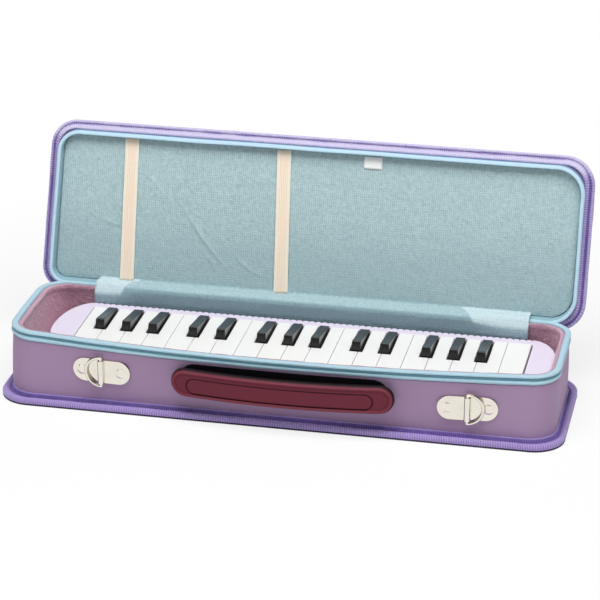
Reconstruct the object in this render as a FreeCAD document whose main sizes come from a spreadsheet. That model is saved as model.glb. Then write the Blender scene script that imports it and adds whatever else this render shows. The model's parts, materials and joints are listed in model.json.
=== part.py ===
import FreeCAD, Part
import math
import os
import Sketcher

# A 32-key melodica lying in its open zipped carry case.
# Frame: origin at the centre of the case's underside, X along the keyboard towards the
# treble, Y to the back, Z up.  All sizes are millimetres and live in the sheet "Dim",
# where a cell that starts with = follows other cells.

V = FreeCAD.Vector
doc = FreeCAD.newDocument("melodica_in_case")
sheet = doc.addObject("Spreadsheet::Sheet", "Dim")

WHITE_NOTES = ([(name, 3) for name in "fgab"] + [(name, 4) for name in "cdefgab"]
               + [(name, 5) for name in "cdefgab"] + [("c", 6)])
SHARP_SHIFT = {"c": "-Dim.pair_shift", "d": "Dim.pair_shift",
               "f": "-Dim.triple_shift", "g": "0", "a": "Dim.triple_shift"}
KEYBOARD = f"{len(WHITE_NOTES)} * white_pitch"

SIZES = [
    # case tray
    ("base_length", "=wall_length + 2 * base_ledge_x", "base over its woven binding, along X"),
    ("base_depth", "=wall_depth + 2 * base_ledge_y", "base over its woven binding, along Y"),
    ("base_ledge_x", 8.0, "binding outside the tray wall, at each end"),
    ("base_ledge_y", 10.2, "binding outside the tray wall, front and back"),
    ("base_corner", 26.0, "corner radius of the binding"),
    ("binding_height", 8.0, "height of the woven binding"),
    ("wall_length", "=body_length + 2 * (melodica_x + end_gap + tray_skin)",
     "tray wall, outside, along X"),
    ("wall_depth", "=body_depth + 2 * (side_gap + tray_skin)", "tray wall, outside, along Y"),
    ("wall_straight", "=wall_length / 2 - wall_corner",
     "half the straight stretch of the tray wall"),
    ("end_gap", 1.45, "melodica's treble end to the lining"),
    ("side_gap", 5.35, "melodica's front and rear to the lining"),
    ("wall_corner", 23.0, "outside corner radius of the tray wall"),
    ("wall_thickness", 3.5, "covered board of the tray wall"),
    ("tray_skin", "=wall_thickness + seam_gap + lining_thickness", "tray wall with its lining"),
    ("floor_thickness", 3.4, "covered board of the tray floor"),
    ("wall_top", "=melodica_z + key_top + sharp_rise + head_room - rim_tape",
     "where the wall ends and the zip tape begins"),
    ("head_room", 4.95, "highest key to the rim"),
    ("rim_tape", 8.0, "height of the tray's zip tape"),
    ("rim_top", "=wall_top + rim_tape", "top of the tray's zip tape"),
    ("front_bow", 9.0, "how far the front rim bows forward at mid-length"),
    ("front_lean", 6.0, "how far the front rim's two ends lean back"),
    ("lining_thickness", 1.5, "fleece lining of the tray"),
    ("lining_top", "=rim_top - lining_drop", "upper edge of the fleece lining"),
    ("lining_drop", 3.5, "upper edge of the lining below the rim"),
    ("seam_gap", 0.15, "gap between soft pieces sewn together"),
    # lid
    ("lid_length", "=wall_length + 2 * lid_side", "lid over its binding, along X"),
    ("lid_side", 7.0, "lid beyond the tray wall, at each end"),
    ("lid_depth", "=lid_overhang + hinge_setback + wall_depth + front_bow + lid_lip",
     "lid over its binding, across"),
    ("lid_lip", 7.5, "lid beyond the bowed front rim"),
    ("lid_corner", 24.0, "corner radius of the lid"),
    ("lid_thickness", 8.0, "thickness of the padded lid"),
    ("lid_overhang", 8.5, "lid edge beyond the hinge line"),
    ("lid_border", 6.0, "width of the woven binding round the lid"),
    ("lid_shift", 1.2, "sideways set of the lid on the tray"),
    ("lid_angle", 110.5, "how far the lid stands open"),
    ("skirt_length", "=lid_length - 2 * skirt_side", "lid zip tape ring, outside, along X"),
    ("skirt_side", 7.8, "lid edge to its zip tape ring, at each end"),
    ("skirt_depth", "=lid_depth - lid_overhang - skirt_lip",
     "lid zip tape ring, outside, across"),
    ("skirt_lip", 8.0, "lid front edge to its zip tape ring"),
    ("skirt_corner", 21.0, "corner radius of the lid zip tape ring"),
    ("skirt_height", 8.2, "height of the lid zip tape ring"),
    ("skirt_width", 4.5, "thickness of the lid zip tape ring"),
    ("rim_gap", 0.3, "gap between the two zip tapes when shut"),
    ("hinge_setback", 0.5, "hinge line behind the tray wall"),
    ("lid_lining_thickness", 1.2, "knitted lining of the lid"),
    ("band_width", 12.0, "elastic band"),
    ("band_thickness", 1.0, "elastic band"),
    ("band_lift", 0.5, "slack between elastic band and lining"),
    ("band_inset", 0.6, "elastic band end to zip tape"),
    ("left_band_x", "=band_margin - skirt_length / 2", "foot of the left elastic band"),
    ("band_margin", 65.2, "left elastic band from the end of the zip tape ring"),
    ("left_band_lean", 1.8, "degrees that the left elastic band leans"),
    ("middle_band_x", -23.8, "foot of the middle elastic band"),
    ("middle_band_lean", 2.8, "degrees that the middle elastic band leans"),
    # fabric across the hinge
    ("hinge_left", "=hinge_left_margin - wall_straight", "left end of the hinge fabric"),
    ("hinge_right", "=wall_straight - hinge_right_margin", "right end of the hinge fabric"),
    ("hinge_left_margin", 21.0, "hinge fabric to the left end of the straight wall"),
    ("hinge_right_margin", 12.0, "hinge fabric to the right end of the straight wall"),
    ("flap_drop", 20.0, "how far the inner flap hangs below the rim"),
    ("flap_gap", 0.8, "inner flap to the fleece lining"),
    ("flap_thickness", 0.8, "hinge fabric"),
    ("gusset_foot", "=rim_top - gusset_drop", "height where the outer hinge fabric starts"),
    ("gusset_drop", 18.0, "how far the outer hinge fabric reaches below the rim"),
    # handle
    ("handle_x", 7.6, "middle of the handle"),
    ("handle_z", 34.5, "height of the handle's middle"),
    ("handle_length", 180.0, "grip, end to end"),
    ("handle_height", 24.0, "grip, top to bottom"),
    ("handle_thickness", 8.0, "grip, front to back"),
    ("handle_bow", 8.0, "how far the grip bows out at mid-length"),
    ("handle_standoff", 1.6, "grip ends to the tray wall"),
    ("grip_round", 2.0, "rounding of the grip's edges"),
    ("pocket_lip", 1.6, "grip's skin over the head of a stud"),
    ("handle_travel", 2.4, "how far the grip pulls out"),
    ("stud_spread", "=handle_length - handle_height", "distance between the two handle studs"),
    ("stud_radius", 2.5, "shank of a handle stud"),
    ("stud_head", 4.5, "head radius of a handle stud"),
    ("stud_head_thickness", 2.0, "head of a handle stud"),
    ("stud_washer", 6.0, "washer radius inside the tray"),
    ("stud_washer_thickness", 1.2, "washer inside the tray"),
    ("washer_gap", 1.2, "washer to the sloping lining"),
    ("stud_play", 0.3, "running gap round a stud"),
    # strap anchors
    ("anchor_left_x", "=anchor_left_margin - wall_straight", "middle of the left anchor plate"),
    ("anchor_right_x", "=wall_straight - anchor_right_margin",
     "middle of the right anchor plate"),
    ("anchor_left_margin", 57.2, "left anchor plate to the end of the straight wall"),
    ("anchor_right_margin", 45.0, "right anchor plate to the end of the straight wall"),
    ("anchor_left_z", 33.0, "height of the left anchor plate"),
    ("anchor_right_z", 29.2, "height of the right anchor plate"),
    ("anchor_length", 48.0, "anchor plate"),
    ("anchor_height", 20.0, "anchor plate"),
    ("anchor_sheet", 1.0, "sheet metal of the anchor plate"),
    ("anchor_gap", 0.5, "anchor plate to the wall's cover"),
    ("rivet_x", 16.4, "anchor rivet from the plate's middle"),
    ("rivet_radius", 4.3, "head of an anchor rivet"),
    ("rivet_rise", 1.2, "height of a rivet head"),
    ("rivet_shank", 1.5, "shank radius of an anchor rivet"),
    ("rivet_play", 0.05, "rivet shank in its hole"),
    ("burr_gap", 0.6, "inner rivet head to the sloping lining"),
    ("ring_radius", 12.5, "D-ring, bar to the middle of its bow"),
    ("ring_wire", 1.25, "wire radius of a D-ring"),
    ("ring_play", 0.15, "D-ring bar in its barrel"),
    ("barrel_wall", 1.2, "rolled barrel round a D-ring's bar"),
    # zip slider
    ("slider_x", "=slider_margin - wall_straight", "where the zip slider is parked"),
    ("slider_margin", 7.0, "zip slider from the left end of the straight wall"),
    ("slider_gap", 0.45, "zip slider to the tray wall"),
    ("slider_z", "=rim_top - slider_drop", "underside of the zip slider"),
    ("slider_drop", 8.5, "underside of the zip slider below the rim"),
    ("slider_length", 8.0, "zip slider"),
    ("slider_height", 6.0, "zip slider"),
    ("slider_thickness", 2.5, "zip slider"),
    ("link_thickness", 1.0, "link that hangs from the slider"),
    ("link_width", 4.0, "link that hangs from the slider"),
    ("link_length", 12.8, "link, from its pin to its root on the slider"),
    ("pull_z", "=slider_z - link_drop", "height of the pull tab's pin"),
    ("link_drop", 8.0, "pull tab's pin below the slider"),
    ("pull_eye", 1.6, "eye radius at the foot of the link"),
    ("pull_pin", 0.75, "pin radius of the pull tab"),
    ("pull_play", 0.08, "pull tab's pin in its eye"),
    ("ear_play", 0.3, "pull tab's ears beside the link"),
    ("pull_length", 21.0, "pull tab below its pin"),
    ("pull_width", 6.4, "pull tab"),
    ("pull_thickness", 1.4, "pull tab"),
    # melodica covers
    ("melodica_x", 8.4, "middle of the melodica in the tray"),
    ("rest_gap", 0.3, "melodica to the lining under it"),
    ("melodica_z", "=floor_thickness + seam_gap + lining_thickness + rest_gap",
     "the melodica's underside"),
    ("body_length", f"={KEYBOARD} + 2 * (well_gap + cheek_length)", "melodica, end to end"),
    ("cheek_length", 22.55, "end cheek beyond the key well"),
    ("body_depth", 97.0, "melodica, front to back"),
    ("cap_bulge", 24.0, "how far each rounded end stands out"),
    ("cover_wall", 2.2, "moulded wall of the covers"),
    ("parting", 19.0, "height of the joint between the covers"),
    ("parting_gap", 0.1, "gap between the covers"),
    ("cover_top", "=key_top - cheek_drop", "height of the end cheeks"),
    ("cheek_drop", 1.2, "end cheeks below the white keys"),
    ("front_rail", "=key_top - rail_drop", "height of the front rail under the keys"),
    ("rail_drop", 10.2, "front rail below the white keys"),
    ("flute_radius", 2.45, "half-round flute on the rear rail"),
    ("flute_pitch", 5.3, "spacing of the flutes"),
    ("well_gap", 1.1, "keys to the end cheeks"),
    ("rail_gap", 0.8, "keys to the rear rail"),
    ("rail_depth", 9.9, "rear rail, front to back"),
    ("key_ledge", 6.5, "front of the melodica to the keys"),
    ("end_boss_x", "=body_length / 2 - end_boss_inset", "cover screws in the ends"),
    ("end_boss_inset", 12.5, "end screws from the tip of the melodica"),
    ("end_boss_y", 20.0, "cover screws in the ends"),
    ("front_boss_y", "=front_boss_inset - body_depth / 2", "cover screws along the front"),
    ("front_boss_inset", 5.1, "front screws behind the front face"),
    ("front_boss_inner", 50.0, "inner front screws from the middle"),
    ("front_boss_outer", "=body_length / 2 - cap_bulge - front_boss_margin",
     "outer front screws from the middle"),
    ("front_boss_margin", 33.0, "outer front screws to the rounded end"),
    ("boss_radius", 3.0, "screw boss"),
    ("screw_shank", 1.25, "shank radius of a cover screw"),
    ("screw_play", 0.05, "shank in its hole"),
    ("screw_head", 2.6, "head radius of a cover screw"),
    ("screw_head_thickness", 1.5, "head of a cover screw"),
    ("screw_length", "=front_rail - 2 * cover_wall - screw_end - screw_head_thickness",
     "cover screw under its head"),
    ("screw_end", 2.1, "tip of a screw to the top of its boss"),
    # wind chamber and reeds
    ("chamber_length", f"={KEYBOARD} + 2 * chamber_reach", "wind chamber, outside, along X"),
    ("chamber_reach", 2.65, "wind chamber beyond the row of keys"),
    ("chamber_front", "=chamber_setback - body_depth / 2", "front face of the wind chamber"),
    ("chamber_setback", 24.5, "front of the melodica to the wind chamber"),
    ("chamber_rear", "=body_depth / 2 - chamber_inset", "rear face of the wind chamber"),
    ("chamber_inset", 5.5, "rear of the melodica to the wind chamber"),
    ("chamber_floor", "=cover_wall + chamber_gap", "underside of the wind chamber"),
    ("chamber_gap", 0.6, "wind chamber over the lower cover"),
    ("chamber_wall", 2.0, "wall of the wind chamber"),
    ("board_under", "=parting + board_rise", "underside of the valve board"),
    ("board_rise", 1.0, "valve board above the joint of the covers"),
    ("board_thickness", 2.5, "valve board"),
    ("board_length", "=chamber_length + 2 * board_lap", "valve board, along X"),
    ("board_lap", 1.0, "valve board beyond the wind chamber"),
    ("board_front", "=board_setback - body_depth / 2", "front edge of the valve board"),
    ("board_setback", 9.0, "front of the melodica to the valve board"),
    ("slot_length", 9.0, "air slot under a valve pad"),
    ("slot_width", 3.0, "air slot under a valve pad"),
    ("plate_thickness", 1.0, "reed plate"),
    ("plate_front", "=chamber_front + chamber_wall + plate_gap",
     "front edge of the reed plate"),
    ("plate_gap", 14.0, "reed plate to the front wall of the wind chamber"),
    ("reed_thickness", 0.4, "reed tongue"),
    ("reed_width", 2.6, "reed tongue"),
    ("reed_long", "=reed_root - plate_front - plate_land", "longest reed tongue"),
    ("reed_root", "=arm_front + (arm_depth + slot_length) / 2", "rear end of every reed slot"),
    ("plate_land", 9.5, "reed plate in front of its longest slot"),
    ("reed_short", 14.0, "shortest reed tongue"),
    ("reed_play", 0.2, "reed tongue in its slot"),
    ("socket_z", "=parting - socket_radius - socket_play - socket_crown",
     "height of the mouthpiece socket and drain button"),
    ("socket_crown", 0.4, "mouthpiece hole to the joint of the covers"),
    ("socket_bore", "=socket_radius - socket_wall", "bore radius of the mouthpiece socket"),
    ("socket_wall", 2.0, "wall of the mouthpiece socket"),
    ("socket_radius", "=(parting - socket_crown - cover_wall - socket_sill) / 2 - socket_play",
     "outside radius of the mouthpiece socket"),
    ("socket_sill", 1.2, "mouthpiece hole over the floor of the lower cover"),
    ("socket_flange", "=socket_radius + socket_rim", "flange radius of the mouthpiece socket"),
    ("socket_rim", 1.5, "flange beyond the mouthpiece socket"),
    ("socket_flange_thickness", 1.5, "flange of the mouthpiece socket"),
    ("socket_play", 0.1, "socket in the covers"),
    ("button_radius", 5.0, "drain button"),
    ("button_cap", 4.0, "length of the drain button's cap"),
    ("button_stem", 1.5, "stem radius of the drain button"),
    ("button_valve", "=socket_z - chamber_floor - chamber_wall - valve_drop",
     "radius of the drain valve disc"),
    ("valve_drop", 1.2, "drain valve disc to the floor of the wind chamber"),
    ("button_valve_thickness", 1.5, "drain valve disc"),
    ("button_travel", 2.5, "drain button's travel"),
    ("button_play", 0.25, "drain button in its hole"),
    ("button_hole", "=button_valve - valve_lap", "drain hole in the wind chamber"),
    ("valve_lap", 1.8, "drain valve disc beyond its hole"),
    ("coil_radius", 2.9, "mean radius of the drain spring"),
    ("coil_wire", 0.35, "wire radius of the drain spring"),
    ("coil_turns", 5, "turns of the drain spring"),
    ("coil_gap", 0.7, "drain spring to what it stands on"),
    # keys
    ("white_pitch", 19.3, "spacing of the white keys"),
    ("key_gap", 0.4, "gap between white keys"),
    ("key_top", "=board_under + board_thickness + key_lift", "top of the white keys"),
    ("key_lift", 17.7, "top of the white keys over the valve board"),
    ("key_front", "=key_ledge - body_depth / 2", "front of the white keys"),
    ("key_length", "=body_depth - key_ledge - rail_depth - rail_gap",
     "white key, front to back"),
    ("key_rear", "=key_front + key_length", "rear of the white keys"),
    ("key_height", 9.0, "side wall of a white key"),
    ("key_skin", 2.0, "top wall of a white key"),
    ("key_wall", 1.5, "side wall thickness of a white key"),
    ("key_round", 0.5, "rounding of the key edges"),
    ("sharp_front", "=key_rear - sharp_setback - sharp_length", "front foot of a black key"),
    ("sharp_setback", 1.3, "black key to the rear of the white keys"),
    ("sharp_length", 42.8, "black key, front to back"),
    ("sharp_width", 9.0, "black key at its foot"),
    ("sharp_crown", 7.0, "black key at its top"),
    ("sharp_slope", 2.3, "how far the black key's front leans back"),
    ("sharp_rise", 7.5, "black key above the white keys, at its front"),
    ("sharp_knee", 34.2, "where a black key's top steepens, from its front foot"),
    ("sharp_knee_rise", 2.5, "black key above the white keys, there"),
    ("sharp_tail_rise", 0.6, "black key above the white keys, at its rear"),
    ("sharp_gap", 0.9, "black key to the white keys round it"),
    ("pair_shift", 1.9, "black key off the boundary in a group of two"),
    ("triple_shift", 2.9, "outer black key off the boundary in a group of three"),
    ("pivot_y", "=key_rear - pivot_setback", "key pivot, from the melodica's middle"),
    ("pivot_setback", 19.8, "key pivot to the rear of the white keys"),
    ("pivot_z", "=key_top - key_height - pivot_drop", "height of the key pivot"),
    ("pivot_drop", 2.8, "key pivot under the side walls of the keys"),
    ("rod_radius", 1.25, "key pivot rod"),
    ("rod_play", 0.06, "pivot rod in a key"),
    ("lug_width", 5.0, "pivot lug under a key"),
    ("lug_depth", 7.0, "pivot lug under a key"),
    ("lug_bottom", "=pivot_z - lug_drop", "underside of the pivot lug"),
    ("lug_drop", 3.0, "key pivot to the underside of its lug"),
    ("rib_front", "=sharp_front + rib_setback", "front end of the rib the spring bears on"),
    ("rib_setback", 4.3, "front of a black key to its rib"),
    ("post_width", 3.0, "post that carries the pivot rod"),
    ("post_gap", 0.4, "top of a post to the keys over it"),
    ("arm_front", "=key_rear - arm_setback", "front face of the valve arm"),
    ("arm_setback", 7.8, "valve arm to the rear of the white keys"),
    ("arm_depth", 6.0, "valve arm, front to back"),
    ("arm_width", 4.0, "valve arm"),
    ("pad_width", 7.0, "valve pad"),
    ("pad_depth", 12.0, "valve pad"),
    ("pad_thickness", 3.2, "valve pad"),
    ("pad_gap", 0.2, "valve pad to the valve board"),
    ("pin_width", 3.0, "guide pin inside a white key"),
    ("pin_height", 9.5, "guide pin above the valve board"),
    ("spring_sheet", 0.4, "sheet of the key springs"),
    ("spring_width", 3.0, "key spring finger"),
    ("spring_foot", "=spring_bend - spring_seat", "front edge of the key spring comb"),
    ("spring_bend", "=spring_tip - finger_length", "where a spring finger turns up"),
    ("spring_tip", "=rib_front + spring_reach", "where a spring finger bears on its key"),
    ("spring_reach", 6.0, "spring tip behind the front of a key's rib"),
    ("finger_length", 14.0, "rising length of a spring finger"),
    ("spring_seat", 7.0, "flat length of a spring finger"),
    ("spring_gap", 0.1, "spring tip to the key"),
]

for row, (alias, content, note) in enumerate(SIZES, start=1):
    sheet.set(f"A{row}", alias)
    sheet.set(f"C{row}", note)
    sheet.setAlias(f"B{row}", alias)
for row, (alias, content, note) in enumerate(SIZES, start=1):
    sheet.set(f"B{row}", str(content))
doc.recompute()

nodes = []


# ---------------------------------------------------------------- helpers

def size(alias):
    """The number in an aliased cell."""
    return float(sheet.get(alias))


def value(expression):
    """The number an expression of the sheet gives."""
    return float(sheet.evalExpression(expression))


def keep(item, label):
    """Register a finished sub-part under the name of its file."""
    item.Label = label
    nodes.append(item)
    return item


def place(item, x="0", y="0", z="0"):
    """Tie an object's position to three expressions."""
    for axis, expression in zip("xyz", (x, y, z)):
        item.setExpression(f"Placement.Base.{axis}", expression)
    return item


def in_melodica(item):
    """Set a sub-part modelled from the melodica's own underside into the tray."""
    return place(item, x="Dim.melodica_x", z="Dim.melodica_z")


def in_lid(item):
    """Swing a sub-part modelled as shut, with its origin on the hinge line, open."""
    item.Placement = FreeCAD.Placement(V(0, 0, 0), FreeCAD.Rotation(V(1, 0, 0), -1))
    item.setExpression("Placement.Rotation.Angle", "-Dim.lid_angle")
    return place(item, "Dim.lid_shift", "Dim.wall_depth / 2 + Dim.hinge_setback",
                 "Dim.rim_top + Dim.rim_gap")


def box(name, low, spans):
    """A block from its low corner and its three spans, all expressions."""
    item = doc.addObject("Part::Box", name)
    for side, expression in zip(("Length", "Width", "Height"), spans):
        item.setExpression(side, expression)
    return place(item, *low)


def rod(name, start, radius, length, turn=None):
    """A cylinder from its start point; turn is (axis, angle) off the Z direction."""
    item = doc.addObject("Part::Cylinder", name)
    item.setExpression("Radius", radius)
    item.setExpression("Height", length)
    if turn:
        item.Placement = FreeCAD.Placement(V(0, 0, 0), FreeCAD.Rotation(*turn))
    return place(item, *start)


ALONG_X = (V(0, 1, 0), 90)


def fused(name, items):
    """One solid from several that touch or overlap."""
    item = doc.addObject("Part::MultiFuse", name)
    item.Shapes = items
    item.Refine = True
    return item


def cut(name, base, tool):
    """The base without the tool's space."""
    item = doc.addObject("Part::Cut", name)
    item.Base = base
    item.Tool = tool
    return item


def group(name, items):
    """Several separate solids kept as one sub-part."""
    item = doc.addObject("Part::Compound", name)
    item.Links = items
    return item


def solid(name, shape):
    """A sub-part whose shape is worked out here from the sheet's sizes."""
    item = doc.addObject("Part::Feature", name)
    item.Shape = shape
    return item


def sketch_on(body, role, name):
    """An empty sketch on one of the body's own origin planes."""
    sketch = body.newObject("Sketcher::SketchObject", name)
    planes = [item for item in body.Origin.OriginFeatures if item.Role == role]
    sketch.AttachmentSupport = [(planes[0], "")]
    sketch.MapMode = "FlatFace"
    return sketch


def dimension(sketch, kind, *references_and_expression):
    """A sketch dimension that follows an expression."""
    *references, expression = references_and_expression
    constraint = Sketcher.Constraint(kind, *references, value(expression))
    index = sketch.addConstraint(constraint)
    sketch.setExpression(f"Constraints[{index}]", expression)


def draw_polygon(sketch, corners):
    """A closed polygon, each corner held by two expressions."""
    points = [V(value(across), value(up), 0) for across, up in corners]
    count = len(points)
    for index in range(count):
        sketch.addGeometry(Part.LineSegment(points[index], points[(index + 1) % count]), False)
    for index in range(count):
        sketch.addConstraint(Sketcher.Constraint("Coincident", index, 2, (index + 1) % count, 1))
    for index, (across, up) in enumerate(corners):
        dimension(sketch, "DistanceX", -1, 1, index, 1, across)
        dimension(sketch, "DistanceY", -1, 1, index, 1, up)


def draw_rounded(sketch, length, depth, corner, middle="0"):
    """A rectangle with round corners, centred across and on the middle's height."""
    half_x = value(length) / 2
    half_y = value(depth) / 2
    radius = value(corner)
    level = value(middle)
    signs = [(1, 1), (-1, 1), (-1, -1), (1, -1)]
    centres = [V(sx * (half_x - radius), level + sy * (half_y - radius), 0) for sx, sy in signs]
    first = sketch.GeometryCount
    for index, centre in enumerate(centres):
        start = index * math.pi / 2
        circle = Part.Circle(centre, V(0, 0, 1), radius)
        sketch.addGeometry(Part.ArcOfCircle(circle, start, start + math.pi / 2), False)
    for index, centre in enumerate(centres):
        turn = (index + 1) * math.pi / 2
        reach = V(radius * math.cos(turn), radius * math.sin(turn), 0)
        ends = (centre + reach, centres[(index + 1) % 4] + reach)
        sketch.addGeometry(Part.LineSegment(*ends), False)
    arcs = [first + index for index in range(4)]
    lines = [first + 4 + index for index in range(4)]
    for index in range(4):
        sketch.addConstraint(Sketcher.Constraint("Tangent", arcs[index], 2, lines[index], 1))
        after = arcs[(index + 1) % 4]
        sketch.addConstraint(Sketcher.Constraint("Tangent", lines[index], 2, after, 1))
        direction = "Horizontal" if index % 2 == 0 else "Vertical"
        sketch.addConstraint(Sketcher.Constraint(direction, lines[index]))
    for index in range(1, 4):
        sketch.addConstraint(Sketcher.Constraint("Equal", arcs[0], arcs[index]))
    dimension(sketch, "Radius", arcs[0], corner)
    dimension(sketch, "DistanceX", -1, 1, lines[3], 1, f"({length}) / 2")
    dimension(sketch, "DistanceX", -1, 1, lines[1], 1, f"-({length}) / 2")
    dimension(sketch, "DistanceY", -1, 1, lines[0], 1, f"({middle}) + ({depth}) / 2")
    dimension(sketch, "DistanceY", -1, 1, lines[2], 1, f"({middle}) - ({depth}) / 2")


def padded(body, sketch, length, backwards=False):
    """A pad of the sketch, to a length that follows an expression."""
    pad = body.newObject("PartDesign::Pad", f"{body.Name}_pad")
    pad.Profile = sketch
    pad.Reversed = backwards
    pad.setExpression("Length", length)
    return pad


def extruded_polygon(name, role, corners, length):
    """A body made by padding one polygon."""
    body = doc.addObject("PartDesign::Body", name)
    sketch = sketch_on(body, role, f"{name}_sketch")
    draw_polygon(sketch, corners)
    padded(body, sketch, length)
    return body


def turned(name, profile):
    """A body turned about Z from a profile of (radius, height) expressions."""
    body = doc.addObject("PartDesign::Body", name)
    sketch = sketch_on(body, "XZ_Plane", f"{name}_sketch")
    draw_polygon(sketch, profile)
    turn = body.newObject("PartDesign::Revolution", f"{name}_turn")
    turn.Profile = sketch
    turn.ReferenceAxis = (sketch, ["V_Axis"])
    turn.Angle = 360
    return body


# ---------------------------------------------------------------- tray wall

def wall_climb(height):
    """0 at the binding, 1 at the rim: how much of its bow and lean a height shows."""
    foot = size("binding_height")
    return max(0.0, (height - foot) / (size("rim_top") - foot))


def front_sweep(x):
    """How far the front rim stands back of its foot: forward (negative) at mid-length."""
    middle = 1 - (x / size("wall_straight")) ** 2
    return size("front_lean") - (size("front_lean") + size("front_bow")) * middle


def front_of_wall(x, height):
    """Y of the tray's front wall, outside."""
    return -size("wall_depth") / 2 + front_sweep(x) * wall_climb(height)


def wall_outline(inset, height):
    """The tray wall's outline at a height: straight at its foot, bowed at its rim."""
    half_x = size("wall_length") / 2 - inset
    half_y = size("wall_depth") / 2 - inset
    radius = size("wall_corner") - inset
    bow = size("front_bow") * wall_climb(height)
    lean = size("front_lean") * wall_climb(height)
    straight_x = half_x - radius
    straight_y = half_y - radius
    left = V(-straight_x, lean - half_y, height)
    right = V(straight_x, lean - half_y, height)
    if bow > 0:
        front = Part.Arc(left, V(0, -half_y - bow, height), right)
    else:
        front = Part.LineSegment(left, right)
    edges = [front.toShape()]
    ends = [right]
    for quarter in range(4):
        turn = math.radians(90 * quarter - 90)
        centre_x = straight_x if quarter in (0, 1) else -straight_x
        centre_y = straight_y if quarter in (1, 2) else lean - straight_y
        angles = (turn, turn + math.pi / 4, turn + math.pi / 2)
        arc = [V(centre_x + radius * math.cos(a), centre_y + radius * math.sin(a), height)
               for a in angles]
        if quarter > 0:
            edges.append(Part.LineSegment(ends[-1], arc[0]).toShape())
        edges.append(Part.Arc(*arc).toShape())
        ends.append(arc[2])
    return Part.Wire(edges)


def wall_block(inset, low, high):
    """A solid that fills the wall's outline between two heights."""
    foot = size("binding_height")
    levels = [low] + ([foot] if low < foot < high else []) + [high]
    shape = None
    for below, above in zip(levels, levels[1:]):
        wires = [wall_outline(inset, below), wall_outline(inset, above)]
        part = Part.makeLoft(wires, True, True)
        shape = part if shape is None else shape.fuse(part)
    return shape


def on_wall(x, height):
    """A frame on the front wall: X along it, Z up it, -Y straight out of it."""
    curve = (size("front_bow") + size("front_lean")) * wall_climb(height)
    along = 2 * curve * x / size("wall_straight") ** 2
    up = front_sweep(x) / (size("rim_top") - size("binding_height"))
    inward = V(-along, 1, -up)
    turn = FreeCAD.Rotation(V(1, along, 0), inward, V(0, up, 1), "YXZ")
    return FreeCAD.Placement(V(x, front_of_wall(x, height), height), turn)


def stud_places():
    """Where the two handle studs go through the front wall."""
    for side in (-1, 1):
        yield size("handle_x") + side * size("stud_spread") / 2


def rivet_frames():
    """A frame on the wall for each of the four anchor rivets."""
    for anchor in ("anchor_left", "anchor_right"):
        frame = on_wall(size(f"{anchor}_x"), size(f"{anchor}_z"))
        for side in (-1, 1):
            yield frame.multiply(FreeCAD.Placement(V(side * size("rivet_x"), 0, 0),
                                                   FreeCAD.Rotation()))


def wall_holes():
    """The space of every hole for the handle studs and the anchor rivets."""
    reach = 3 * (size("wall_thickness") + size("lining_thickness"))
    holes = []
    for x in stud_places():
        start = V(x, front_of_wall(x, size("handle_z")) - reach / 2, size("handle_z"))
        radius = size("stud_radius") + size("rivet_play")
        holes.append(Part.makeCylinder(radius, reach, start, V(0, 1, 0)))
    for frame in rivet_frames():
        radius = size("rivet_shank") + size("rivet_play")
        hole = Part.makeCylinder(radius, reach, V(0, -reach / 2, 0), V(0, 1, 0))
        hole.Placement = frame.multiply(hole.Placement)
        holes.append(hole)
    return holes


def make_tray():
    """Shell, lining and zip tape of the tray."""
    floor = size("floor_thickness")
    shell = wall_block(0, 0, size("wall_top"))
    shell = shell.cut(wall_block(size("wall_thickness"), floor, size("wall_top")))
    keep(solid("tray_shell", shell.cut(wall_holes())), "tray_shell")

    outside = size("wall_thickness") + size("seam_gap")
    inside = outside + size("lining_thickness")
    lowest = floor + size("seam_gap")
    top = size("lining_top")
    lining = wall_block(outside, lowest, top)
    lining = lining.cut(wall_block(inside, lowest + size("lining_thickness"), top))
    keep(solid("tray_lining", lining.cut(wall_holes())), "tray_lining")

    start = size("wall_top") + size("seam_gap")
    tape = wall_block(0, start, size("rim_top"))
    tape = tape.cut(wall_block(size("wall_thickness"), start, size("rim_top")))
    keep(solid("tray_zip_tape", tape), "tray_zip_tape")


def make_tray_binding():
    """Woven binding sewn round the foot of the tray."""
    body = doc.addObject("PartDesign::Body", "tray_binding")
    sketch = sketch_on(body, "XY_Plane", "tray_binding_sketch")
    draw_rounded(sketch, "Dim.base_length", "Dim.base_depth", "Dim.base_corner")
    draw_rounded(sketch, "Dim.wall_length + 2 * Dim.seam_gap",
                 "Dim.wall_depth + 2 * Dim.seam_gap", "Dim.wall_corner + Dim.seam_gap")
    padded(body, sketch, "Dim.binding_height")
    keep(body, "tray_binding")


# ---------------------------------------------------------------- lid

def lid_slab(name, outline, low, thickness, hole=None):
    """A flat rounded slab or ring of the lid; outlines are (length, depth, corner, rear edge)."""
    body = doc.addObject("PartDesign::Body", name)
    sketch = sketch_on(body, "XY_Plane", f"{name}_sketch")
    for length, depth, corner, rear in [outline] + ([hole] if hole else []):
        draw_rounded(sketch, length, depth, corner, f"({rear}) - ({depth}) / 2")
    sketch.setExpression("AttachmentOffset.Base.z", low)
    padded(body, sketch, thickness)
    keep(in_lid(body), name)


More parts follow.
